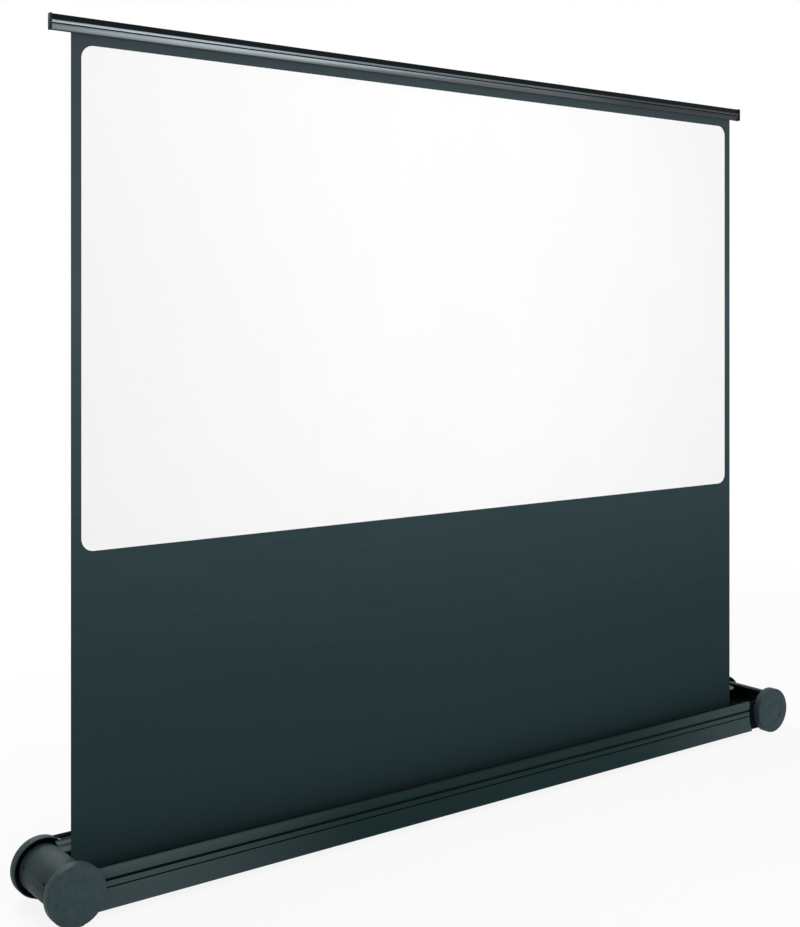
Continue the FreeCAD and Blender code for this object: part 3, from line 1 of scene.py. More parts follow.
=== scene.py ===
import json
import logging
import math
from dataclasses import dataclass, field
from enum import Enum
from typing import Callable, Sequence, Union

import bmesh
import bpy
from mathutils import Matrix, Vector


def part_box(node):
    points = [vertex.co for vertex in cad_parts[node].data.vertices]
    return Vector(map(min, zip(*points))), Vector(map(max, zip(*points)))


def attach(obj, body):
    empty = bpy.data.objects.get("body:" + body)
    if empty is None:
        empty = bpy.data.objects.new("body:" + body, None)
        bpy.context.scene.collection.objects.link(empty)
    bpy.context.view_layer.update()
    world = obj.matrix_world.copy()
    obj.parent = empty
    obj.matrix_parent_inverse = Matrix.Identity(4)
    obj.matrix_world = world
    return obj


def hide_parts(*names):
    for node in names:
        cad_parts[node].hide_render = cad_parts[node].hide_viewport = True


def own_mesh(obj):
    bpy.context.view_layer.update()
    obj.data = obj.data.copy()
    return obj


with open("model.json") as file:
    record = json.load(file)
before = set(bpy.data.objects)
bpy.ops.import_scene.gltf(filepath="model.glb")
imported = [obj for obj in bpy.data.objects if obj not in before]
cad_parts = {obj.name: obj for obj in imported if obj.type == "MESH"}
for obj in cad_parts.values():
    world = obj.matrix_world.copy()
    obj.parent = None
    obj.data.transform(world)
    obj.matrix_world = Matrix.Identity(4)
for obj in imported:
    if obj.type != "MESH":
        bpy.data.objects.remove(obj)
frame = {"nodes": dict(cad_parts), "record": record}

LOG = logging.getLogger("projection_screen")
MM = 0.001
MERGE_DISTANCE = 0.01 * MM
CAP_SCREW_ANGLE = 19.5
FLOOR_SCREW_HEIGHT = 25 * MM
NOISE_LOW, NOISE_HIGH = 0.3, 0.7
NODE_BODIES = {node: body for body, nodes in frame["record"]["behaviour"]["bodies"].items() for node in nodes}
NODE_SLOTS = {entry["node"]: entry["material_slot"] for entry in frame["record"]["subparts"]}
Socket = bpy.types.NodeSocket
Colour = tuple[float, float, float]
Paint = Union[Colour, Socket]
Pair = tuple[float, float]


class Axis(Enum):
    """An axis of the part, as a unit vector."""

    X = (1.0, 0.0, 0.0)
    Y = (0.0, 1.0, 0.0)
    Z = (0.0, 0.0, 1.0)

    @property
    def vector(self) -> Vector:
        """The axis as a vector."""
        return Vector(self.value)


# Nodes and materials


class NodeMaker:
    """A node tree being made."""

    def __init__(self, tree: bpy.types.NodeTree) -> None:
        """Start on a tree."""
        self.tree = tree

    def fill(self, socket: Socket, value: object) -> None:
        """Give an input its value.

        Args:
            socket: The input.
            value: Its value, or a socket to link to it.
        """
        if isinstance(value, Socket):
            self.tree.links.new(value, socket)
        else:
            socket.default_value = value

    def add(self, kind: str, settings: dict | None = None, **inputs: object) -> bpy.types.Node:
        """Add a node.

        Args:
            kind: The node's Blender type.
            settings: Properties of the node itself.
            inputs: Values of its inputs, or sockets to link to them; an underscore stands for a space.

        Returns:
            The new node.
        """
        node = self.tree.nodes.new(kind)
        for key, value in (settings or {}).items():
            setattr(node, key, value)
        for key, value in inputs.items():
            self.fill(node.inputs[key.replace("_", " ")], value)
        return node

    def in_order(self, kind: str, settings: dict, *values: object) -> bpy.types.Node:
        """Add a node whose inputs are given in their order.

        Args:
            kind: The node's Blender type.
            settings: Properties of the node itself.
            values: Values of its first inputs, or sockets to link to them.

        Returns:
            The new node.
        """
        node = self.add(kind, settings)
        for socket, value in zip(node.inputs, values):
            self.fill(socket, value)
        return node

    def maths(self, operation: str, *values: object) -> Socket:
        """The result of a math node on sockets or numbers."""
        return self.in_order("ShaderNodeMath", {"operation": operation}, *values).outputs["Value"]

    def vectors(self, operation: str, *values: object) -> Socket:
        """The result of a vector math node: a number for a length, a vector for the rest."""
        node = self.in_order("ShaderNodeVectorMath", {"operation": operation}, *values)
        return node.outputs["Value" if operation == "LENGTH" else "Vector"]

    def vector(self, **parts: object) -> Socket:
        """A vector made of its X, Y and Z."""
        return self.add("ShaderNodeCombineXYZ", **parts).outputs["Vector"]

    def eased(self, value: Socket, start: float, stop: float, low: float = 0.0, high: float = 1.0) -> Socket:
        """Lead smoothly from one level to another.

        Args:
            value: The value that decides.
            start: The low level holds up to here.
            stop: The high level holds from here.
            low: The level before the start.
            high: The level after the stop.

        Returns:
            The level.
        """
        ranged = self.add(
            "ShaderNodeMapRange", {"interpolation_type": "SMOOTHSTEP"},
            Value=value, From_Min=start, From_Max=stop, To_Min=low, To_Max=high,
        )
        return ranged.outputs["Result"]


class Shader(NodeMaker):
    """A material being made: one Principled shader and the nodes that feed it."""

    def __init__(self, name: str, roughness: float, specular: float, metallic: float) -> None:
        """Start a material.

        Args:
            name: The material's name.
            roughness: Roughness where nothing varies it.
            specular: Specular level of the shader.
            metallic: 1 for bare metal.
        """
        self.material = bpy.data.materials.new(name)
        self.material.use_nodes = True
        super().__init__(self.material.node_tree)
        self.surface = self.tree.nodes["Principled BSDF"]
        levels = {"Roughness": roughness, "Specular IOR Level": specular, "Metallic": metallic}
        for key, level in levels.items():
            self.fill(self.surface.inputs[key], level)
        self.place = self.add("ShaderNodeTexCoord").outputs["Object"]

    def noise(self, size: float, detail: float = 3.0, stretch: Sequence[float] = (1, 1, 1)) -> Socket:
        """Noise whose lumps have a given size.

        Args:
            size: Size of a lump in metres.
            detail: Octaves of the noise.
            stretch: How much longer a lump is along each axis.

        Returns:
            The noise's factor, from 0 to 1.
        """
        scale = tuple(1.0 / share for share in stretch)
        moved = self.add("ShaderNodeMapping", Vector=self.place, Scale=scale).outputs["Vector"]
        return self.add("ShaderNodeTexNoise", Vector=moved, Scale=1.0 / size, Detail=detail).outputs["Fac"]

    def between(self, factor: Socket, low: float = 0.0, high: float = 1.0) -> Socket:
        """Spread the middle of a noise over a range.

        Args:
            factor: The noise, mostly near its middle.
            low: The result at the noise's usual low.
            high: The result at its usual high.

        Returns:
            The spread value.
        """
        ranged = self.add(
            "ShaderNodeMapRange",
            Value=factor, From_Min=NOISE_LOW, From_Max=NOISE_HIGH, To_Min=low, To_Max=high,
        )
        return ranged.outputs["Result"]

    def mixed(self, factor: Socket, first: Paint, second: Paint) -> Socket:
        """Mix two colours.

        Args:
            factor: 0 for the first colour, 1 for the second.
            first: Linear colour, or the socket of one.
            second: Linear colour, or the socket of one.

        Returns:
            The mixed colour.
        """
        ends = [paint if isinstance(paint, Socket) else (*paint, 1.0) for paint in (first, second)]
        mix = self.add("ShaderNodeMix", {"data_type": "RGBA"}, Factor=factor, A=ends[0], B=ends[1])
        return mix.outputs["Result"]

    def clouded(self, factor: Socket, colour: Colour, shares: Pair) -> Socket:
        """A colour that a factor leads from one share of it to another."""
        return self.mixed(factor, scaled(colour, shares[0]), scaled(colour, shares[1]))

    def within(self, value: Socket, low: float, high: float) -> Socket:
        """1 where a value lies between two limits, 0 elsewhere."""
        above, below = self.maths("GREATER_THAN", value, low), self.maths("LESS_THAN", value, high)
        return self.maths("MULTIPLY", above, below)

    def set(self, name: str, socket: Socket) -> None:
        """Feed one of the shader's inputs from a socket."""
        self.tree.links.new(socket, self.surface.inputs[name])

    def roughen(self, factor: Socket, roughness: float, spread: Pair) -> None:
        """Vary the roughness round its usual value by a factor."""
        self.set("Roughness", self.between(factor, roughness + spread[0], roughness + spread[1]))

    def bump(self, height: Socket, depth: float, strength: float = 1.0) -> None:
        """Raise the surface by a height, on top of any bump already there.

        Args:
            height: A value from 0 to 1.
            depth: Depth of the relief in metres.
            strength: How much of the relief is used.
        """
        node = self.add("ShaderNodeBump", Height=height, Distance=depth, Strength=strength)
        before = self.surface.inputs["Normal"].links
        if before:
            self.tree.links.new(before[0].from_socket, node.inputs["Normal"])
        self.set("Normal", node.outputs["Normal"])


def scaled(colour: Colour, share: float) -> Colour:
    """A colour made lighter or darker by a share."""
    return tuple(min(1.0, part * share) for part in colour)


@dataclass(frozen=True)
class Finish:
    """A surface finish of the screen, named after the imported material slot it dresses."""

    slot: str
    colour: Colour
    roughness: float = 0.5
    specular: float = 0.3
    metallic: float = 0.0

    def material(self) -> bpy.types.Material:
        """Make the finish.

        Returns:
            Its material.
        """
        shader = Shader(self.slot, self.roughness, self.specular, self.metallic)
        self.paint(shader)
        return shader.material

    def paint(self, shader: Shader) -> None:
        """Feed the shader with what varies over the surface."""
        raise NotImplementedError


@dataclass(frozen=True)
class PowderCoat(Finish):
    """Satin powder coat on metal: fine orange peel, faint cloudiness and slightly rubbed spots."""

    peel: float = 0.9 * MM
    peel_depth: float = 0.03 * MM
    cloud: float = 90 * MM
    cloud_shares: Pair = (0.88, 1.14)
    rubbed_spot: float = 18 * MM
    rough_spread: Pair = (-0.06, 0.08)

    def tone(self, shader: Shader) -> Socket:
        """The coat's faintly clouded colour."""
        cloud = shader.between(shader.noise(self.cloud, detail=4.0, stretch=(4, 1, 1)))
        return shader.clouded(cloud, self.colour, self.cloud_shares)

    def paint(self, shader: Shader) -> None:
        """Feed the shader of the coat.

        Args:
            shader: The material being made.
        """
        shader.set("Base Color", self.tone(shader))
        spots = shader.noise(self.rubbed_spot, detail=5.0, stretch=(5, 1, 1))
        shader.roughen(spots, self.roughness, self.rough_spread)
        shader.bump(shader.noise(self.peel, detail=2.0), self.peel_depth)


@dataclass(frozen=True)
class MouldedPlastic(Finish):
    """Moulded plastic with an etched grain and a mottled tone."""

    grain: float = 1.1 * MM
    coarse_grain: float = 4.4 * MM
    grain_depth: float = 0.09 * MM
    mottle: float = 14 * MM
    fine_mottle: float = 14 * MM / 3
    contrast: float = 0.16
    rough_spread: Pair = (-0.05, 0.07)

    def tone(self, shader: Shader) -> Socket:
        """The plastic's mottled colour."""
        mottle = shader.between(shader.noise(self.mottle, detail=6.0))
        return shader.clouded(mottle, self.colour, (1 - self.contrast, 1 + self.contrast))

    def paint(self, shader: Shader) -> None:
        """Feed the shader of the plastic.

        Args:
            shader: The material being made.
        """
        shader.set("Base Color", self.tone(shader))
        shader.roughen(shader.noise(self.fine_mottle, detail=4.0), self.roughness, self.rough_spread)
        cells = shader.add("ShaderNodeTexVoronoi", Vector=shader.place, Scale=1.0 / self.grain)
        shader.bump(cells.outputs["Distance"], self.grain_depth, strength=0.5)
        shader.bump(shader.noise(self.coarse_grain), self.grain_depth, strength=0.4)


@dataclass(frozen=True)
class DiscPlastic(MouldedPlastic):
    """The discs' plastic, black in the hollow behind the face where no light reaches."""

    hollow_depth: float = 96.2 * MM
    hollow_radius: float = 59.6 * MM
    hollow_shade_share: float = 0.1

    def tone(self, shader: Shader) -> Socket:
        """The plastic's mottled colour, with painted shade nearly black in the hollow.

        Args:
            shader: The material being made.

        Returns:
            The colour.
        """
        low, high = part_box("front_foot")
        middle = (low + high) / 2
        mirrored = shader.vectors("ABSOLUTE", shader.place)
        depth = shader.add("ShaderNodeSeparateXYZ", Vector=mirrored).outputs["Y"]
        moved = shader.vectors("SUBTRACT", mirrored, (abs(middle.x), 0.0, middle.z))
        radius = shader.vectors("LENGTH", shader.vectors("MULTIPLY", moved, (1.0, 0.0, 1.0)))
        # Painted shade: the hollow behind the face is coloured nearly black.
        inside = shader.maths(
            "MULTIPLY",
            shader.within(depth, 0.0, self.hollow_depth),
            shader.within(radius, -MM, self.hollow_radius),
        )
        return shader.mixed(inside, super().tone(shader), scaled(self.colour, self.hollow_shade_share))


@dataclass(frozen=True)
class DrawnMetal(Finish):
    """Bare metal with fine lines along the way it was drawn or brushed, and faint stains."""

    along: Axis = Axis.X
    line: float = 0.25 * MM
    line_length: float = 60.0
    line_depth: float = 0.012 * MM
    stain: float = 35 * MM
    stain_shares: Pair = (0.86, 1.06)
    rough_spread: Pair = (-0.08, 0.1)
    metallic: float = 1.0

    def paint(self, shader: Shader) -> None:
        """Feed the shader of the metal.

        Args:
            shader: The material being made.
        """
        stretch = tuple(self.line_length if part else 1.0 for part in self.along.value)
        lines = shader.noise(self.line, detail=2.0, stretch=stretch)
        stain = shader.between(shader.noise(self.stain, detail=5.0))
        shader.set("Base Color", shader.clouded(stain, self.colour, self.stain_shares))
        shader.roughen(lines, self.roughness, self.rough_spread)
        shader.bump(lines, self.line_depth)


@dataclass(frozen=True)
class RailCoat(PowderCoat):
    """The rails' coat, with painted shade that makes the outer walls' grooves nearly black, painted light
    that makes the deck paler, a painted highlight on the deck's front edge and a painted sheen at both ends.
    """

    line_depths: Pair = (84.0 * MM, 87.4 * MM)
    lines: tuple[Pair, ...] = ((57.4 * MM, 60.8 * MM), (71.4 * MM, 76.5 * MM))
    groove_shade_share: float = 0.12
    deck: Colour = (0.110, 0.152, 0.158)
    deck_edge_highlight: Colour = (0.260, 0.310, 0.320)
    deck_depths: Pair = (38.0 * MM, 79.4 * MM)
    deck_edge_depths: Pair = (38.0 * MM, 40.9 * MM)
    deck_heights: Pair = (97.5 * MM, 115.0 * MM)
    end_sheen: Colour = (0.0450, 0.0700, 0.0740)
    end_sheen_from: float = 0.4
    end_sheen_to: float = 1.05
    least_sheen_x: float = 0.08

    def tone(self, shader: Shader) -> Socket:
        """The coat's colour, with painted shade in the grooves, painted light on the deck and a painted sheen
        at the ends.

        Args:
            shader: The material being made.

        Returns:
            The colour.
        """
        place = shader.add("ShaderNodeSeparateXYZ", Vector=shader.place).outputs
        # Painted shade: the grooves in the outer walls are coloured nearly black.
        deep = shader.within(shader.maths("ABSOLUTE", place["Y"]), *self.line_depths)
        low, high = (shader.within(place["Z"], *heights) for heights in self.lines)
        line = shader.maths("MULTIPLY", deep, shader.maths("MAXIMUM", low, high))
        # Painted sheen: the coat is coloured paler towards both ends of the rails.
        far = shader.maths("ABSOLUTE", shader.maths("SUBTRACT", place["X"], self.least_sheen_x))
        ends = shader.eased(far, self.end_sheen_from, self.end_sheen_to)
        tone = shader.mixed(ends, super().tone(shader), self.end_sheen)
        tone = shader.mixed(line, tone, scaled(self.colour, self.groove_shade_share))
        # Painted light: the deck is coloured paler, and its front edge gets a painted highlight.
        height = shader.within(place["Z"], *self.deck_heights)
        for colour, depths in ((self.deck, self.deck_depths), (self.deck_edge_highlight, self.deck_edge_depths)):
            part = shader.maths("MULTIPLY", height, shader.within(place["Y"], *depths))
            tone = shader.mixed(part, tone, colour)
        return tone


@dataclass(frozen=True)
class BarCoat(PowderCoat):
    """The bar's coat, with bare satin metal on the rib and the slanted face, and a painted reflection on the
    metal that fades towards the right.
    """

    rib_metal: Colour = (0.122, 0.140, 0.149)
    face_metal: Colour = (0.098, 0.112, 0.120)
    stain: float = 40 * MM
    stain_shares: Pair = (0.92, 1.06)
    sheen_full_to: float = 0.25
    sheen_gone_from: float = 0.65
    sheen_gone_share: float = 0.45
    metal_roughness: float = 0.3
    metal_spread: Pair = (-0.05, 0.08)
    line: float = 0.25 * MM
    line_length: float = 60.0
    line_depth: float = 0.012 * MM
    lower_face: float = 11.5 * MM
    groove: float = 2.5 * MM
    rib: float = 5.2 * MM
    edge_reach: float = 0.1 * MM
    face_y: float = -3.9 * MM
    rib_y: float = -6.6 * MM
    front_y: float = -9.0 * MM

    def strips(self, shader: Shader, place: bpy.types.NodeOutputs) -> list[Socket]:
        """Find the bare strips of the bar.

        Args:
            shader: The material being made.
            place: The point's X, Y and Z.

        Returns:
            1 on the slanted face, and 1 on the rib.
        """
        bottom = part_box("top_bar")[0].z
        face_top = bottom + self.lower_face
        rib_bottom = face_top + self.groove
        masks = []
        for heights, back in (
            ((bottom - MM, face_top), self.face_y),
            ((rib_bottom - self.edge_reach, rib_bottom + self.rib), self.rib_y),
        ):
            height = shader.within(place["Z"], *heights)
            masks.append(shader.maths("MULTIPLY", height, shader.within(place["Y"], self.front_y, back)))
        return masks

    def metal(self, shader: Shader, rib: Socket, x: Socket) -> Socket:
        """Colour the bare strips.

        Args:
            shader: The material being made.
            rib: 1 on the rib.
            x: The place along the bar.

        Returns:
            The stained metal's colour, with a painted reflection: bright at the left, dimmed towards the
            right.
        """
        stain = shader.between(shader.noise(self.stain, detail=5.0, stretch=(4, 1, 1)))
        face_metal = shader.clouded(stain, self.face_metal, self.stain_shares)
        rib_metal = shader.clouded(stain, self.rib_metal, self.stain_shares)
        metal = shader.mixed(rib, face_metal, rib_metal)
        # Painted reflection: the bare metal is coloured bright at the left and dimmed towards the right.
        sheen_falloff = shader.eased(x, self.sheen_full_to, self.sheen_gone_from, 1.0, self.sheen_gone_share)
        sheen_dimmed = shader.add("ShaderNodeVectorMath", {"operation": "SCALE"}, Vector=metal, Scale=sheen_falloff)
        return sheen_dimmed.outputs["Vector"]

    def paint(self, shader: Shader) -> None:
        """Feed the shader of the coat.

        Args:
            shader: The material being made.
        """
        place = shader.add("ShaderNodeSeparateXYZ", Vector=shader.place).outputs
        face, rib = self.strips(shader, place)
        bare = shader.maths("MAXIMUM", face, rib)
        shader.set("Base Color", shader.mixed(bare, self.tone(shader), self.metal(shader, rib, place["X"])))
        shader.set("Metallic", bare)
        lines = shader.noise(self.line, detail=2.0, stretch=(self.line_length, 1, 1))
        rough = shader.between(lines, *(self.metal_roughness + part for part in self.metal_spread))
        mix = shader.add("ShaderNodeMix", {"data_type": "FLOAT"}, Factor=bare, A=self.roughness, B=rough)
        shader.set("Roughness", mix.outputs["Result"])
        shader.bump(lines, self.line_depth)
        shader.bump(shader.noise(self.peel, detail=2.0), self.peel_depth, strength=0.5)


@dataclass(frozen=True)
class PadRubber(Finish):
    """Soft black rubber with a dusty bloom."""

    bloom: float = 6 * MM
    bloom_shares: Pair = (1.0, 1.9)
    grain: float = 0.5 * MM
    grain_depth: float = 0.05 * MM

    def paint(self, shader: Shader) -> None:
        """Feed the shader of the rubber.

        Args:
            shader: The material being made.
        """
        dust = shader.between(shader.noise(self.bloom, detail=6.0))
        shader.set("Base Color", shader.clouded(dust, self.colour, self.bloom_shares))
        shader.bump(shader.noise(self.grain, detail=2.0), self.grain_depth)


@dataclass(frozen=True)
class ScreenCloth(Finish):
    """Coated screen cloth: a fine even weave under the coat, with faint streaks along the roller.

    The colour is the one at the floor, and the tones are those at shares of the hem's height: painted light
    and shade that make the cloth darker at the bottom, paler higher up and a little darker again at the top.
    """

    thread: float = 0.7 * MM
    thread_depth: float = 0.03 * MM
    streak: float = 16 * MM
    streak_share: float = 0.028
    hem_height: float = 1.78
    tones: tuple[tuple[float, Colour], ...] = (
        (0.22, (0.0185, 0.0360, 0.0400)),
        (0.4, (0.0265, 0.0480, 0.0530)),
        (0.7, (0.0500, 0.0740, 0.0800)),
        (1.0, (0.0410, 0.0580, 0.0640)),
    )

    def tone(self, shader: Shader) -> Socket:
        """Lead the colour through the tones with the height, which paints light and shade on the cloth.

        Args:
            shader: The material being made.

        Returns:
            The streaked colour.
        """
        height = shader.add("ShaderNodeSeparateXYZ", Vector=shader.place).outputs["Z"]
        rise = shader.add("ShaderNodeMapRange", Value=height, From_Max=self.hem_height).outputs["Result"]
        streak = shader.between(shader.noise(self.streak, detail=5.0, stretch=(22, 1, 1)), -1.0, 1.0)
        factor = shader.maths("MULTIPLY_ADD", streak, self.streak_share, rise)
        # Painted light and shade: the tones make the cloth darker at the bottom and paler higher up.
        ramp = shader.add("ShaderNodeValToRGB", Fac=factor)
        stops, tones = ramp.color_ramp.elements, ((0.0, self.colour), *self.tones)
        while len(stops) < len(tones):
            stops.new(1.0)
        for stop, (position, colour) in zip(stops, tones):
            stop.position = position
            stop.color = (*colour, 1.0)
        return ramp.outputs["Color"]

    def paint(self, shader: Shader) -> None:
        """Feed the shader of the cloth.

        Args:
            shader: The material being made.
        """
        shader.set("Base Color", self.tone(shader))
        # A wave texture of scale 1 turns by 20 radians in a metre.
        scale = math.pi / (10 * self.thread)
        for direction in ("X", "Z"):
            settings = {"bands_direction": direction, "wave_profile": "SIN"}
            wave = shader.add("ShaderNodeTexWave", settings, Vector=shader.place, Scale=scale, Distortion=0.0)
            shader.bump(wave.outputs["Fac"], self.thread_depth, strength=0.6)


@dataclass(frozen=True)
class ProjectionCoat(Finish):
    """Matt white projection coat: a fine pearl grain and a barely uneven tone."""

    pearl: float = 0.8 * MM
    pearl_depth: float = 0.02 * MM
    cloud: float = 260 * MM
    cloud_shares: Pair = (0.985, 1.0)

    def paint(self, shader: Shader) -> None:
        """Feed the shader of the coat.

        Args:
            shader: The material being made.
        """
        cloud = shader.between(shader.noise(self.cloud, detail=4.0, stretch=(1, 1, 3)))
        shader.set("Base Color", shader.clouded(cloud, self.colour, self.cloud_shares))
        cells = shader.add("ShaderNodeTexVoronoi", Vector=shader.place, Scale=1.0 / self.pearl)
        shader.bump(cells.outputs["Distance"], self.pearl_depth, strength=0.5)


FINISHES: tuple[Finish, ...] = (
    RailCoat("rail_coat", (0.0068, 0.0200, 0.0212), 0.5, 0.06),
    BarCoat("bar_coat", (0.004, 0.0075, 0.009), 0.5, 0.04),
    PowderCoat("black_steel", (0.0030, 0.0040, 0.0042), 0.55, 0.03),
    MouldedPlastic("end_plastic", (0.0262, 0.0435, 0.0475), 0.58, 0.1, contrast=0.1),
    DiscPlastic("disc_plastic", (0.0320, 0.0540, 0.0600), 0.52, 0.1),
    MouldedPlastic("bar_end_plastic", (0.0150, 0.0255, 0.0285), 0.5, 0.08, contrast=0.1),
    PadRubber("pad_rubber", (0.003, 0.0035, 0.0035), 0.9, 0.05),
    DrawnMetal("steel", (0.56, 0.56, 0.57), 0.34, 0.5, along=Axis.Y),
    DrawnMetal("black_screw", (0.0015, 0.0018, 0.0018), 0.6, 0.02, metallic=0.0),
    DrawnMetal("bush_bronze", (0.55, 0.38, 0.18), 0.4, 0.5, along=Axis.Y),
    DrawnMetal("roller_aluminium", (0.68, 0.69, 0.70), 0.36, 0.5),
    DrawnMetal("arm_aluminium", (0.56, 0.57, 0.58), 0.38, 0.5, along=Axis.Z),
    MouldedPlastic("nylon", (0.62, 0.61, 0.56), 0.45, 0.45, contrast=0.04),
    ScreenCloth("black_fabric", (0.0170, 0.0340, 0.0380), 0.85, 0.05),
    ProjectionCoat("white_fabric", (0.93, 0.93, 0.93), 0.75, 0.15),
)


class FinishSet:
    """The finishes of the screen, each made once and looked up by its material slot."""

    def __init__(self, finishes: Sequence[Finish]) -> None:
        """Make every finish's material."""
        self.materials = {finish.slot: finish.material() for finish in finishes}

    def __getitem__(self, slot: str) -> bpy.types.Material:
        """The material of a slot."""
        return self.materials[slot]


# Pieces and meshes


def link_object(name: str, data: bpy.types.ID) -> bpy.types.Object:
    """Put a mesh, a lamp or a camera into the scene.

    Args:
        name: Name of the object.
        data: What the object shows.

    Returns:
        The object, at the origin.
    """
    shape = bpy.data.objects.new(name, data)
    bpy.context.scene.collection.objects.link(shape)
    return shape


def plain_copy(shape: bpy.types.Object) -> bpy.types.Mesh:
    """Work an object's modifiers into a mesh and take the object out of the file.

    Args:
        shape: The working object.

    Returns:
        The finished mesh.
    """
    bpy.context.view_layer.update()
    graph = bpy.context.evaluated_depsgraph_get()
    mesh = bpy.data.meshes.new_from_object(shape.evaluated_get(graph), depsgraph=graph)
    bpy.data.objects.remove(shape, do_unlink=True)
    return mesh


def kept_mesh(name: str, work: bmesh.types.BMesh) -> bpy.types.Mesh:
    """Write a working mesh out.

    Args:
        name: Name of the mesh.
        work: The working mesh, which is freed.

    Returns:
        The mesh.
    """
    mesh = bpy.data.meshes.new(name)
    work.to_mesh(mesh)
    work.free()
    return mesh


def shaded_by_angle(mesh: bpy.types.Mesh, angle: float) -> bpy.types.Mesh:
    """Shade a mesh smooth up to an angle between its faces.

    Args:
        mesh: The mesh to shade.
        angle: Edges sharper than this, in degrees, stay sharp.

    Returns:
        The same mesh.
    """
    mesh.shade_smooth()
    mesh.set_sharp_from_angle(angle=math.radians(angle))
    return mesh


def softened(mesh: bpy.types.Mesh, width: float, steps: int = 2, angle: float = 32.0) -> bpy.types.Mesh:
    """Round the sharp edges of a mesh and shade it smooth.

    Args:
        mesh: The mesh to finish.
        width: Width of the rounding in metres.
        steps: Faces across the rounding.
        angle: Edges sharper than this, in degrees, are rounded.

    Returns:
        A new mesh.
    """
    mesh.shade_smooth()
    shape = link_object("softening", mesh)
    bevel = shape.modifiers.new("edges", "BEVEL")
    bevel.width = width
    bevel.segments = steps
    bevel.limit_method = "ANGLE"
    bevel.angle_limit = math.radians(angle)
    bevel.harden_normals = True
    bevel.use_clamp_overlap = True
    return plain_copy(shape)


def merged_node(node: str, flat_angle: float = 0.6) -> bpy.types.Mesh:
    """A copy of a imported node's mesh with its triangles joined into whole faces.

    Args:
        node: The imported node.
        flat_angle: Faces that differ by less than this, in degrees, are joined.

    Returns:
        The joined mesh.
    """
    work = bmesh.new()
    work.from_mesh(frame["nodes"][node].data)
    bmesh.ops.remove_doubles(work, verts=work.verts, dist=MERGE_DISTANCE)
    bmesh.ops.dissolve_degenerate(work, dist=MERGE_DISTANCE, edges=work.edges)
    bmesh.ops.dissolve_limit(
        work, angle_limit=math.radians(flat_angle), use_dissolve_boundaries=False,
        verts=work.verts, edges=work.edges,
    )
    return kept_mesh(node + "_joined", work)


def prism(outline: Sequence[Pair], axis: Axis, start: float, stop: float) -> bpy.types.Mesh:
    """Draw a flat outline out along an axis.

    Args:
        outline: Corners: (x, z) for the Y axis, (y, z) for the X axis.
        axis: The axis the outline is drawn along.
        start: Where the shape starts on that axis.
        stop: Where it ends.

    Returns:
        The closed mesh, with its faces outwards.
    """
    work = bmesh.new()
    rings = []
    for place in (start, stop):
        if axis is Axis.Y:
            rings.append([work.verts.new((first, place, second)) for first, second in outline])
        else:
            rings.append([work.verts.new((place, first, second)) for first, second in outline])
    near, far = rings
    for index in range(len(outline)):
        after = (index + 1) % len(outline)
        work.faces.new((near[index], near[after], far[after], far[index]))
    work.faces.new(near)
    work.faces.new(far)
    bmesh.ops.recalc_face_normals(work, faces=work.faces)
    return kept_mesh("prism", work)


def islands(mesh: bpy.types.Mesh) -> list[list[Vector]]:
    """Find the loose parts of a mesh.

    Args:
        mesh: The mesh.

    Returns:
        The corner points of each part, from left to right.
    """
    work = bmesh.new()
    work.from_mesh(mesh)
    seen: set[int] = set()
    parts = []
    for start in work.verts:
        if start.index in seen:
            continue
        seen.add(start.index)
        queue, points = [start], []
        while queue:
            vertex = queue.pop()
            points.append(vertex.co.copy())
            for edge in vertex.link_edges:
                other = edge.other_vert(vertex)
                if other.index not in seen:
                    seen.add(other.index)
                    queue.append(other)
        parts.append(points)
    work.free()
    return sorted(parts, key=lambda points: tuple(round(value, 4) for value in points[0]))


@dataclass
class Piece:
    """A visible piece, the body it rides on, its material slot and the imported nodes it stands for."""

    shape: bpy.types.Object
    body: str
    slot: str
    stands_for: tuple[str, ...] = ()

    def settle(self) -> None:
        """Give the piece to the frame."""
        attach(self.shape, self.body)
        if self.stands_for:
            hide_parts(*self.stands_for)
        LOG.info("%s rides on %s, %d faces", self.shape.name, self.body, len(self.shape.data.polygons))


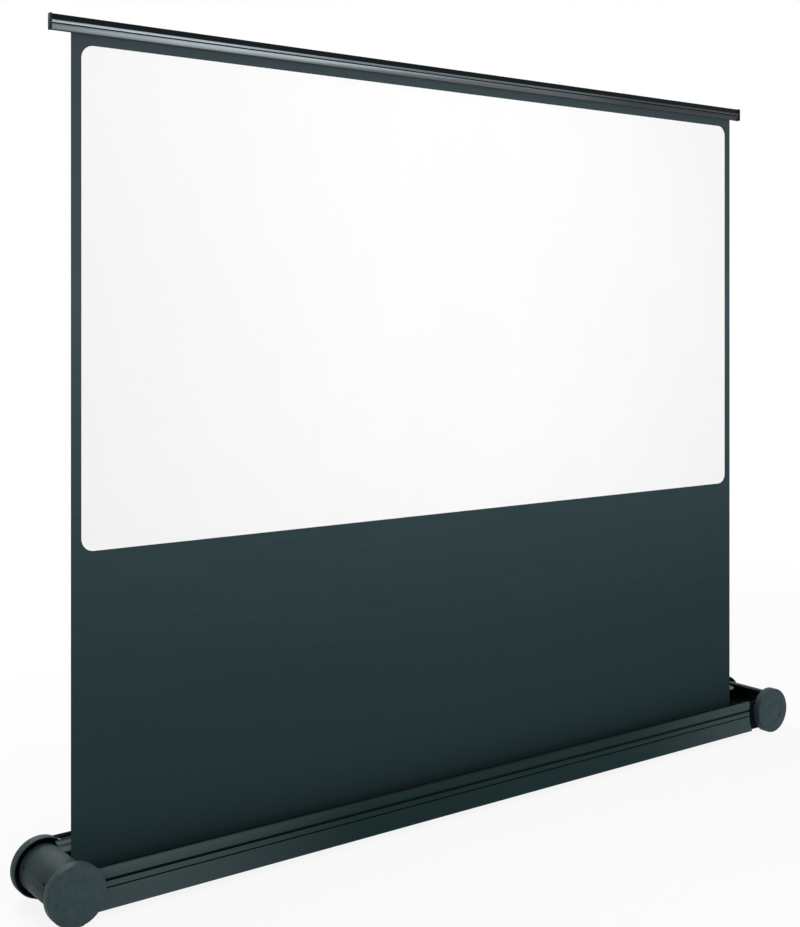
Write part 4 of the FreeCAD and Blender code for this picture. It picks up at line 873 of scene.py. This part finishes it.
class GeometryTree(NodeMaker):
    """A Geometry Nodes tree being made, with named inputs and one material."""

    def __init__(self, name: str) -> None:
        """Start an empty tree.

        Args:
            name: Name of the tree.
        """
        super().__init__(bpy.data.node_groups.new(name, "GeometryNodeTree"))
        self.tree.is_modifier = True
        for side in ("INPUT", "OUTPUT"):
            self.tree.interface.new_socket("Geometry", in_out=side, socket_type="NodeSocketGeometry")
        self.source = self.tree.nodes.new("NodeGroupInput")
        self.sockets: dict[str, str] = {}

    def size(self, name: str, kind: str = "NodeSocketFloat") -> Socket:
        """Add a named input.

        Args:
            name: Name of the input.
            kind: Its socket type.

        Returns:
            Its socket inside the tree.
        """
        entry = self.tree.interface.new_socket(name, in_out="INPUT", socket_type=kind)
        self.sockets[name] = entry.identifier
        return self.source.outputs[name]

    def joined(self, *parts: Socket) -> Socket:
        """Join several geometries.

        Args:
            parts: The geometries.

        Returns:
            All of them as one.
        """
        node = self.add("GeometryNodeJoinGeometry")
        for part in parts:
            self.fill(node.inputs["Geometry"], part)
        return node.outputs["Geometry"]

    def close(self, shape: Socket) -> None:
        """End the tree with its instances made real and its material given.

        Args:
            shape: The finished geometry.
        """
        material = self.size("Material", "NodeSocketMaterial")
        real = self.add("GeometryNodeRealizeInstances", Geometry=shape).outputs["Geometry"]
        painted = self.add("GeometryNodeSetMaterial", Geometry=real, Material=material).outputs["Geometry"]
        self.add("NodeGroupOutput", Geometry=painted)

    def mesh(self, name: str, start: bpy.types.Mesh | None = None, **sizes: object) -> bpy.types.Mesh:
        """Run the tree and keep its result as a plain mesh.

        Args:
            name: Name of the mesh.
            start: Mesh that the tree starts from.
            sizes: Values of the named inputs.

        Returns:
            The plain mesh.
        """
        shape = link_object(name, start or bpy.data.meshes.new(name))
        modifier = shape.modifiers.new(self.tree.name, "NODES")
        modifier.node_group = self.tree
        for key, value in sizes.items():
            modifier[self.sockets[key]] = value
        result = plain_copy(shape)
        result.name = name
        return result


@dataclass
class SubAssembly:
    """A group of pieces that is built and dressed together."""

    finishes: FinishSet
    pieces: list[Piece] = field(default_factory=list)

    def add(self, name: str, mesh: bpy.types.Mesh, body: str, slot: str, *nodes: str) -> None:
        """Keep a mesh as a piece.

        Args:
            name: The piece's name.
            mesh: Its finished mesh.
            body: The body it rides on.
            slot: The material slot it is dressed in.
            nodes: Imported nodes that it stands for.
        """
        self.pieces.append(Piece(link_object(name, mesh), body, slot, nodes))

    def finish_nodes(self, rounding: float, *nodes: str) -> None:
        """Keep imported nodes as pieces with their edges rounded.

        Args:
            rounding: Width of the rounding in metres.
            nodes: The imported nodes.
        """
        for node in nodes:
            mesh = softened(merged_node(node), rounding)
            self.add(node + "_finished", mesh, NODE_BODIES[node], NODE_SLOTS[node], node)

    def build(self) -> None:
        """Make the meshes."""
        raise NotImplementedError

    def dress(self) -> None:
        """Give every piece its material."""
        for piece in self.pieces:
            piece.shape.data.materials.clear()
            piece.shape.data.materials.append(self.finishes[piece.slot])

    def settle(self) -> None:
        """Give every piece to the frame."""
        for piece in self.pieces:
            piece.settle()


# Fabric


@dataclass
class ScreenFabric(SubAssembly):
    """The stretched fabric: black cloth with the white coat on its front."""

    corner_radius: float = 27 * MM
    corner_steps: int = 14
    cloth_cell: float = 60 * MM
    roller_height: float = 46 * MM
    bar_travel: float = 1666.5 * MM
    fold_joint: str = "left_arm_fold"

    def build(self) -> None:
        """Make both layers."""
        self.add("black_cloth", self.cloth(), "base", "black_fabric", "black_backing")
        self.add("white_coat", self.coat(), "base", "white_fabric", "white_surface")

    def cloth(self) -> bpy.types.Mesh:
        """Weave the black layer in cells, so that it can take a shape.

        Returns:
            Its mesh.
        """
        low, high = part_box("black_backing")
        columns = round((high.x - low.x) / self.cloth_cell)
        rows = round((high.z - low.z) / self.cloth_cell)
        work = bmesh.new()
        grid = []
        for row in range(rows + 1):
            z = low.z + (high.z - low.z) * row / rows
            places = (low.x + (high.x - low.x) * column / columns for column in range(columns + 1))
            grid.append([work.verts.new((x, low.y, z)) for x in places])
        for below, above in zip(grid, grid[1:]):
            for column in range(columns):
                work.faces.new((below[column], below[column + 1], above[column + 1], above[column]))
        shape = link_object("weaving", kept_mesh("black_cloth", work))
        wall = shape.modifiers.new("thickness", "SOLIDIFY")
        wall.thickness = high.y - low.y
        wall.offset = -1.0
        return plain_copy(shape)

    def coat(self) -> bpy.types.Mesh:
        """Cut the white layer, with rounded corners.

        Returns:
            Its mesh.
        """
        low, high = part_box("white_surface")
        radius = self.corner_radius
        corners = ((high.x, high.z, 0), (low.x, high.z, 1), (low.x, low.z, 2), (high.x, low.z, 3))
        outline = []
        for x, z, quarter in corners:
            middle_x = x - math.copysign(radius, x - (low.x + high.x) / 2)
            middle_z = z - math.copysign(radius, z - (low.z + high.z) / 2)
            for step in range(self.corner_steps + 1):
                angle = math.radians(90 * (quarter + step / self.corner_steps))
                outline.append((middle_x + radius * math.cos(angle), middle_z + radius * math.sin(angle)))
        return prism(outline, Axis.Y, low.y, high.y)

    def settle(self) -> None:
        """Give both layers to the frame, each with a mesh of its own."""
        super().settle()
        for piece in self.pieces:
            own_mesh(piece.shape)


@dataclass
class FabricRoll(SubAssembly):
    """The turns of fabric that stay on the roller, wound as one spiral."""

    layer: float = 0.8 * MM
    slack: float = 0.04 * MM
    steps_a_turn: int = 72
    smooth_angle: float = 40.0
    width: float = field(default=0.0, init=False)
    length: float = field(default=0.0, init=False)

    def build(self) -> None:
        """Wind the spiral."""
        low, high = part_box("fabric_roll")
        tube_low, tube_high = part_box("roller_tube")
        middle_y, middle_z = (low.y + high.y) / 2, (low.z + high.z) / 2
        inner, outer = (tube_high.z - tube_low.z) / 2, (high.z - low.z) / 2
        turns = (outer - inner - self.layer) / self.layer
        steps = round(turns * self.steps_a_turn)
        inside, outside = [], []
        for step in range(steps + 1):
            angle = 2 * math.pi * turns * step / steps
            radius = inner + self.slack / 2 + self.layer * turns * step / steps
            for line, reach in ((inside, radius), (outside, radius + self.layer - self.slack)):
                line.append((middle_y + reach * math.cos(angle), middle_z + reach * math.sin(angle)))
        self.length = 2 * math.pi * turns * (inner + outer) / 2
        self.width = high.x - low.x
        mesh = shaded_by_angle(self.ribbon(inside, outside, low.x, high.x), self.smooth_angle)
        self.add("wound_fabric", mesh, "roller", "black_fabric", "fabric_roll")

    def ribbon(
        self, inside: Sequence[Pair], outside: Sequence[Pair], start: float, stop: float
    ) -> bpy.types.Mesh:
        """Close the band between two lines and draw it out along the roller.

        Args:
            inside: Points (y, z) of the inner line.
            outside: Points (y, z) of the outer line.
            start: Left end of the band.
            stop: Right end of the band.

        Returns:
            The closed mesh.
        """
        work = bmesh.new()
        rows = []
        for x in (start, stop):
            rows.append([[work.verts.new((x, *point)) for point in line] for line in (inside, outside)])
        (near_in, near_out), (far_in, far_out) = rows
        for index in range(len(inside) - 1):
            after = index + 1
            work.faces.new((near_in[index], far_in[index], far_in[after], near_in[after]))
            work.faces.new((near_out[index], near_out[after], far_out[after], far_out[index]))
            work.faces.new((near_in[index], near_in[after], near_out[after], near_out[index]))
            work.faces.new((far_in[index], far_out[index], far_out[after], far_in[after]))
        for index in (0, len(inside) - 1):
            work.faces.new((near_in[index], near_out[index], far_out[index], far_in[index]))
        bmesh.ops.recalc_face_normals(work, faces=work.faces)
        return kept_mesh("wound_fabric", work)

    def settle(self) -> None:
        """Give the roll to the frame."""
        super().settle()


# Springs and screws


@dataclass
class CoilSprings(SubAssembly):
    """The wound springs: two torsion springs at the shoulders and the long one in the roller."""

    shoulder_wire: float = 3.0 * MM
    shoulder_pitch_share: float = 1.06
    roller_wire: float = 2.0 * MM
    roller_pitch: float = 2.5 * MM
    leg_length: float = 34 * MM
    wire_sides: int = 10
    steps_a_turn: int = 20

    def tree(self) -> GeometryTree:
        """Wind a wire round a shaft, with a straight leg at each end.

        Returns:
            The spring tree.
        """
        tree = GeometryTree("wound spring")
        sizes = (tree.size(name) for name in ("Radius", "Length", "Turns", "Wire", "Leg"))
        radius, length, turns, wire, leg = sizes
        steps, sides = (tree.size(name, "NodeSocketInt") for name in ("Steps", "Sides"))
        coil = tree.add(
            "GeometryNodeCurveSpiral",
            Resolution=steps, Rotations=turns, Start_Radius=radius, End_Radius=radius, Height=length,
        ).outputs["Curve"]
        first = tree.vector(X=radius)
        first_tip = tree.vector(X=radius, Y=leg)
        last = tree.vector(X=radius, Z=length)
        back = tree.maths("MULTIPLY", leg, -1.0)
        last_tip = tree.vector(X=radius, Y=back, Z=length)
        first_leg = tree.add("GeometryNodeCurvePrimitiveLine", Start=first, End=first_tip).outputs["Curve"]
        last_leg = tree.add("GeometryNodeCurvePrimitiveLine", Start=last, End=last_tip).outputs["Curve"]
        ring = tree.add("GeometryNodeCurvePrimitiveCircle", Resolution=sides, Radius=wire).outputs["Curve"]
        path = tree.joined(coil, first_leg, last_leg)
        wound = tree.add("GeometryNodeCurveToMesh", Curve=path, Profile_Curve=ring, Fill_Caps=True)
        smooth = tree.add("GeometryNodeSetShadeSmooth", Geometry=wound.outputs["Mesh"], Shade_Smooth=True)
        tree.close(smooth.outputs["Geometry"])
        return tree

    def build(self) -> None:
        """Wind the three springs."""
        tree = self.tree()
        pitch = self.shoulder_wire * self.shoulder_pitch_share
        for node in ("left_shoulder_spring", "right_shoulder_spring"):
            self.wind(tree, node, Axis.Y, self.shoulder_wire, pitch, self.leg_length)
        self.wind(tree, "roller_spring", Axis.X, self.roller_wire, self.roller_pitch, self.roller_wire)

    def wind(self, tree: GeometryTree, node: str, axis: Axis, wire: float, pitch: float, leg: float) -> None:
        """Wind one spring into the space of its packed sleeve.

        Args:
            tree: The spring tree.
            node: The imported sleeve.
            axis: The shaft's axis.
            wire: Diameter of the wire.
            pitch: Distance from turn to turn.
            leg: Length of the straight ends.
        """
        low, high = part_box(node)
        across = high.z - low.z
        length = (high - low).dot(axis.vector)
        mesh = tree.mesh(
            node + "_wound",
            Radius=(across - wire) / 2,
            Length=length - wire,
            Turns=round((length - wire) / pitch),
            Wire=wire / 2,
            Leg=leg,
            Steps=self.steps_a_turn,
            Sides=self.wire_sides,
            Material=self.finishes["steel"],
        )
        turn = Axis.Z.vector.rotation_difference(axis.vector).to_matrix().to_4x4()
        start = (low + high) / 2 - axis.vector * (length - wire) / 2
        mesh.transform(Matrix.Translation(start) @ turn)
        self.add(node + "_wound", mesh, NODE_BODIES[node], "steel", node)


@dataclass(frozen=True)
class ScrewKind:
    """A set of like screws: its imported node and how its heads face."""

    node: str
    facing: Callable[[Vector], Vector]


@dataclass(frozen=True)
class ScrewSize:
    """A packed screw: its seat from its middle, its head's radius and rise, its shank's radius and depth."""

    seat: float
    head: float
    rise: float
    shank: float
    depth: float


def radial_facing(middle: Vector) -> Vector:
    """Heads of the cap screws: outwards and a little up."""
    angle = math.radians(CAP_SCREW_ANGLE)
    return Vector((math.copysign(math.cos(angle), middle.x), 0, math.sin(angle)))


def case_facing(middle: Vector) -> Vector:
    """Tell how the heads of the case screws face.

    Args:
        middle: Middle of the screw.

    Returns:
        Down from the floor plate, or into the case from the cheeks.
    """
    if middle.z < FLOOR_SCREW_HEIGHT:
        return -Axis.Z.vector
    return Vector((0, -math.copysign(1, middle.y), 0))


@dataclass
class Fasteners(SubAssembly):
    """All screws of the screen, with domed heads and cross slots."""

    dome_segments: int = 18
    dome_rings: int = 10
    stem_sides: int = 14
    stem_middle_share: float = -0.5
    slot_width_share: float = 0.3
    slot_length_share: float = 1.15
    smooth_angle: float = 30.0
    rim_share: float = 0.9
    tip_reach: float = 0.1 * MM
    kinds: tuple[ScrewKind, ...] = (
        ScrewKind("end_cap_screws", radial_facing),
        ScrewKind("case_screws", case_facing),
        ScrewKind("shoulder_bracket_screws", lambda middle: Axis.Z.vector),
        ScrewKind("bar_bracket_screws", lambda middle: Axis.Y.vector),
    )

    def head(self, tree: GeometryTree, radius: Socket, rise: Socket) -> Socket:
        """Dome a head and cut its cross slot.

        Args:
            tree: The screw tree.
            radius: The head's radius.
            rise: The head's height.

        Returns:
            The slotted dome.
        """
        size = tree.vector(X=radius, Y=radius, Z=rise)
        ball = tree.add(
            "GeometryNodeMeshUVSphere", Segments=self.dome_segments, Rings=self.dome_rings, Radius=1.0
        ).outputs["Mesh"]
        dome = tree.add("GeometryNodeTransform", Geometry=ball, Scale=size).outputs["Geometry"]
        cut = tree.in_order("GeometryNodeMeshBoolean", {"operation": "DIFFERENCE", "solver": "EXACT"}, dome)
        lift = tree.vector(Z=rise)
        reach = tree.maths("MULTIPLY", radius, self.slot_length_share)
        width = tree.maths("MULTIPLY", radius, self.slot_width_share)
        for x, y in ((reach, width), (width, reach)):
            size = tree.vector(X=x, Y=y, Z=rise)
            bar = tree.add("GeometryNodeMeshCube", Size=size).outputs["Mesh"]
            slot = tree.add("GeometryNodeTransform", Geometry=bar, Translation=lift).outputs["Geometry"]
            tree.fill(cut.inputs["Mesh 2"], slot)
        return cut.outputs["Mesh"]

    def tree(self) -> GeometryTree:
        """Put a screw on each point of a mesh, turned to the point's facing.

        Returns:
            The screw tree.
        """
        tree = GeometryTree("cross slotted screws")
        head, rise, shank, depth = (tree.size(name) for name in ("Head", "Rise", "Shank", "Depth"))
        stem = tree.add("GeometryNodeMeshCylinder", Vertices=self.stem_sides, Radius=shank, Depth=depth)
        sunk = tree.vector(Z=tree.maths("MULTIPLY", depth, self.stem_middle_share))
        stem = tree.add("GeometryNodeTransform", Geometry=stem.outputs["Mesh"], Translation=sunk)
        screw = tree.joined(self.head(tree, head, rise), stem.outputs["Geometry"])
        facing = tree.add(
            "GeometryNodeInputNamedAttribute", {"data_type": "FLOAT_VECTOR"}, Name="facing"
        ).outputs["Attribute"]
        turned = tree.add("FunctionNodeAlignRotationToVector", {"axis": "Z"}, Vector=facing)
        placed = tree.add(
            "GeometryNodeInstanceOnPoints",
            Points=tree.source.outputs["Geometry"], Instance=screw, Rotation=turned.outputs["Rotation"],
        )
        tree.close(placed.outputs["Instances"])
        return tree

    def places(self, kind: ScrewKind) -> tuple[bpy.types.Mesh, ScrewSize]:
        """Find the places of the screws of a kind.

        Args:
            kind: The kind.

        Returns:
            A mesh with a point on each seat, with its facing, and the size of a screw.
        """
        screws = []
        for points in islands(merged_node(kind.node)):
            middle = sum(points, Vector()) / len(points)
            facing = kind.facing(middle)
            size = self.measured(points, middle, facing)
            screws.append((middle + facing * size.seat, facing))
        mesh = bpy.data.meshes.new(kind.node + "_places")
        mesh.from_pydata([tuple(seat) for seat, _ in screws], [], [])
        layer = mesh.attributes.new("facing", "FLOAT_VECTOR", "POINT")
        layer.data.foreach_set("vector", [part for _, facing in screws for part in facing])
        return mesh, size

    def build(self) -> None:
        """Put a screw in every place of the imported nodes."""
        tree = self.tree()
        for kind in self.kinds:
            slot = NODE_SLOTS[kind.node]
            start, size = self.places(kind)
            mesh = tree.mesh(
                kind.node + "_slotted", start,
                Head=size.head, Rise=size.rise, Shank=size.shank, Depth=size.depth,
                Material=self.finishes[slot],
            )
            shaded_by_angle(mesh, self.smooth_angle)
            self.add(kind.node + "_slotted", mesh, NODE_BODIES[kind.node], slot, kind.node)

    def measured(self, points: list[Vector], middle: Vector, facing: Vector) -> ScrewSize:
        """Measure one packed screw.

        Args:
            points: Its corner points.
            middle: Their mean.
            facing: The way its head faces.

        Returns:
            Its sizes.
        """
        spots = []
        for point in points:
            along = (point - middle).dot(facing)
            across = (point - middle - facing * along).length
            spots.append((along, across))
        top = max(along for along, _ in spots)
        tip = min(along for along, _ in spots)
        head = max(across for _, across in spots)
        seat = min(along for along, across in spots if across > self.rim_share * head)
        shank = max(across for along, across in spots if along < tip + self.tip_reach)
        return ScrewSize(seat=seat, head=head, rise=top - seat, shank=shank, depth=seat - tip)


# Hard parts


@dataclass
class Case(SubAssembly):
    """The long case: rails, floor plate, end caps, cheeks and brackets."""

    rail_rounding: float = 0.5 * MM
    cap_rounding: float = 0.7 * MM
    plate_rounding: float = 0.3 * MM
    seal_thickness: float = 1.4 * MM
    seal_lip_share: float = 0.3
    seal_proud: float = 3.2 * MM
    seal_depth: float = 9.0 * MM
    crest_width: float = 12.0 * MM
    seal_left: float = -1014 * MM
    seal_right: float = 981 * MM

    def seal_and_shade_strip(self) -> bpy.types.Mesh:
        """Draw the thin black rubber strip that stands up behind the front rail's bead; its black also stands
        in for the shade in the slot behind the bead.

        Returns:
            Its mesh.
        """
        low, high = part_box("front_rail")
        front = low.y + self.crest_width
        back = front + self.seal_thickness
        foot = high.z - self.seal_depth
        top = high.z + self.seal_proud
        lip = self.seal_thickness * self.seal_lip_share
        outline = (
            (front, foot), (back, foot), (back, top - lip),
            (back - lip, top), (front + lip, top), (front, top - lip),
        )
        return prism(outline, Axis.X, self.seal_left, self.seal_right)

    def build(self) -> None:
        """Finish the case's nodes and add the strip."""
        # Painted shade: the black rubber strip also stands in for the shade in the slot behind the bead.
        self.add("case_seal_and_shade_strip", self.seal_and_shade_strip(), "base", "pad_rubber")
        self.finish_nodes(self.rail_rounding, "front_rail", "rear_rail")
        self.finish_nodes(self.cap_rounding, "left_end_cap", "right_end_cap")
        self.finish_nodes(
            self.plate_rounding,
            "floor_plate", "left_front_cheek", "left_rear_cheek", "right_front_cheek", "right_rear_cheek",
            "left_roller_bracket", "right_roller_bracket", "shoulder_bracket", "bar_rest_post",
            "bar_rest_pad", "brake_cover",
        )


@dataclass
class EndDiscs(SubAssembly):
    """The four round discs: fixed feet at the left, wheels with hub covers at the right."""

    rounding: float = 0.6 * MM
    small_rounding: float = 0.3 * MM

    def build(self) -> None:
        """Finish the discs and what turns or stands with them."""
        self.finish_nodes(self.rounding, "front_foot", "rear_foot", "front_wheel", "rear_wheel")
        self.finish_nodes(
            self.small_rounding,
            "front_hub_cover", "rear_hub_cover", "foot_pads", "axle_nuts", "wheel_axle", "foot_tie_rod",
        )


@dataclass
class FoldingArms(SubAssembly):
    """The two mirrored pairs of arms with their pins and washers."""

    channel_rounding: float = 0.5 * MM
    pin_rounding: float = 0.4 * MM

    def build(self) -> None:
        """Finish the arms' nodes."""
        self.finish_nodes(
            self.channel_rounding, "lower_left_arm", "lower_right_arm", "upper_left_arm", "upper_right_arm"
        )
        self.finish_nodes(
            self.pin_rounding,
            "left_shoulder_pin", "right_shoulder_pin", "left_elbow_pin", "right_elbow_pin", "left_wrist_pin",
            "right_wrist_pin", "left_elbow_washer", "right_elbow_washer",
        )


@dataclass
class TopBar(SubAssembly):
    """The bar along the fabric's top edge with its end caps and rear bracket."""

    rounding: float = 0.3 * MM

    def build(self) -> None:
        """Finish the bar's nodes."""
        self.finish_nodes(self.rounding, "top_bar", "left_bar_cap", "right_bar_cap", "bar_bracket")


@dataclass
class CarriedNodes:
    """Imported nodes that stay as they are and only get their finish."""

    finishes: FinishSet

    def dress(self) -> None:
        """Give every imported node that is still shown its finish."""
        for node, shape in frame["nodes"].items():
            if shape.hide_render:
                continue
            for place in shape.material_slots:
                place.material = self.finishes[NODE_SLOTS[node]]
            LOG.info("%s is carried over", node)


# Studio


@dataclass(frozen=True)
class PhotoCamera:
    """The camera at the photograph's viewing angle."""

    place: Vector = Vector((-2.1751, -2.6338, 1.1947))
    heading: Vector = Vector((0.5987, 0.8010, 0.0))
    lens: float = 53.204
    shift_y: float = -0.1548
    clip_end: float = 50.0

    def build(self) -> None:
        """Make the camera and hand it to the scene."""
        data = bpy.data.cameras.new("photo camera")
        data.lens = self.lens
        data.shift_y = self.shift_y
        data.clip_end = self.clip_end
        camera = link_object(data.name, data)
        camera.location = self.place
        camera.rotation_euler = self.heading.to_track_quat("-Z", "Y").to_euler()
        bpy.context.scene.camera = camera


@dataclass(frozen=True)
class SoftBox:
    """A studio lamp that looks at a point."""

    name: str
    place: Vector
    target: Vector
    width: float
    height: float
    power: float

    def build(self) -> None:
        """Make the lamp."""
        data = bpy.data.lights.new(self.name, "AREA")
        data.shape = "RECTANGLE"
        data.size = self.width
        data.size_y = self.height
        data.energy = self.power
        lamp = link_object(data.name, data)
        lamp.location = self.place
        lamp.rotation_euler = (self.target - self.place).to_track_quat("-Z", "Y").to_euler()


@dataclass(frozen=True)
class Studio:
    """A pale floor in a plain white room with soft lamps."""

    floor_half: float = 14.0
    floor_cells: int = 8
    floor_colour: Colour = (0.86, 0.86, 0.86)
    grain_scale: float = 240.0
    grain_depth: float = 0.05 * MM
    clear_radius: float = 1.6
    white_radius: float = 4.2
    lift: float = 0.88
    room_level: float = 0.32
    lamps: tuple[SoftBox, ...] = (
        SoftBox("top lamp", Vector((-0.6, -1.3, 4.3)), Vector((0, -0.2, 0.6)), 3.0, 3.0, 53.0),
        SoftBox("front lamp", Vector((0.3, -3.3, 1.25)), Vector((-0.4, 0, 1.3)), 2.0, 2.0, 57.0),
        SoftBox("back lamp", Vector((-0.3, 3.2, 3.4)), Vector((0, 0, 0.5)), 2.4, 2.4, 125.0),
    )

    def build(self) -> None:
        """Make the floor, the room and the lamps."""
        work = bmesh.new()
        bmesh.ops.create_grid(
            work, x_segments=self.floor_cells, y_segments=self.floor_cells, size=self.floor_half
        )
        mesh = kept_mesh("studio_floor", work)
        mesh.materials.append(self.floor_paper())
        link_object("studio_floor", mesh)
        self.room()
        for lamp in self.lamps:
            lamp.build()
        bpy.context.scene.view_settings.view_transform = "Standard"

    def floor_paper(self) -> bpy.types.Material:
        """Make pale paper that keeps the shadow near the object and fades into the white room.

        Returns:
            Its material.
        """
        material = bpy.data.materials.new("floor paper")
        material.use_nodes = True
        material.node_tree.nodes.clear()
        maker = NodeMaker(material.node_tree)
        place = maker.add("ShaderNodeTexCoord").outputs["Object"]
        fade = maker.eased(maker.vectors("LENGTH", place), self.clear_radius, self.white_radius, self.lift)
        grain = maker.add("ShaderNodeTexNoise", Vector=place, Scale=self.grain_scale).outputs["Fac"]
        relief = maker.add("ShaderNodeBump", Height=grain, Distance=self.grain_depth).outputs["Normal"]
        colour = (*self.floor_colour, 1.0)
        paper = maker.add("ShaderNodeBsdfDiffuse", Color=colour, Normal=relief).outputs["BSDF"]
        white = maker.add("ShaderNodeEmission").outputs["Emission"]
        share = maker.maths("MULTIPLY", fade, self.seen_ray(maker))
        mix = maker.in_order("ShaderNodeMixShader", {}, share, paper, white)
        maker.add("ShaderNodeOutputMaterial", Surface=mix.outputs["Shader"])
        return material

    def seen_ray(self, maker: NodeMaker) -> Socket:
        """Tell which rays show the background.

        Args:
            maker: The tree that takes the nodes.

        Returns:
            1 for rays that see it directly, mirrored or through something, 0 for the rest.
        """
        path = maker.add("ShaderNodeLightPath").outputs
        total = path["Is Camera Ray"]
        for name in ("Is Glossy Ray", "Is Transmission Ray"):
            total = maker.maths("MAXIMUM", total, path[name])
        return total

    def room(self) -> None:
        """Make a white room: full white where it is seen, softer where it lights."""
        world = bpy.data.worlds.new("white room")
        world.use_nodes = True
        maker = NodeMaker(world.node_tree)
        seen = self.seen_ray(maker)
        level = maker.add("ShaderNodeMapRange", Value=seen, To_Min=self.room_level, To_Max=1.0)
        background = world.node_tree.nodes["Background"]
        maker.fill(background.inputs["Color"], (1.0, 1.0, 1.0, 1.0))
        maker.fill(background.inputs["Strength"], level.outputs["Result"])
        bpy.context.scene.world = world


def main() -> None:
    """Build the studio and every sub-assembly of the screen, in order."""
    logging.basicConfig(level=logging.INFO, format="%(message)s")
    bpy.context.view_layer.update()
    PhotoCamera().build()
    Studio().build()
    finishes = FinishSet(FINISHES)
    for kind in (ScreenFabric, FabricRoll, CoilSprings, Fasteners, Case, EndDiscs, FoldingArms, TopBar):
        group = kind(finishes)
        group.build()
        group.dress()
        group.settle()
        LOG.info("%s: %d pieces", kind.__name__, len(group.pieces))
    CarriedNodes(finishes).dress()


if __name__ == "__main__":
    main()
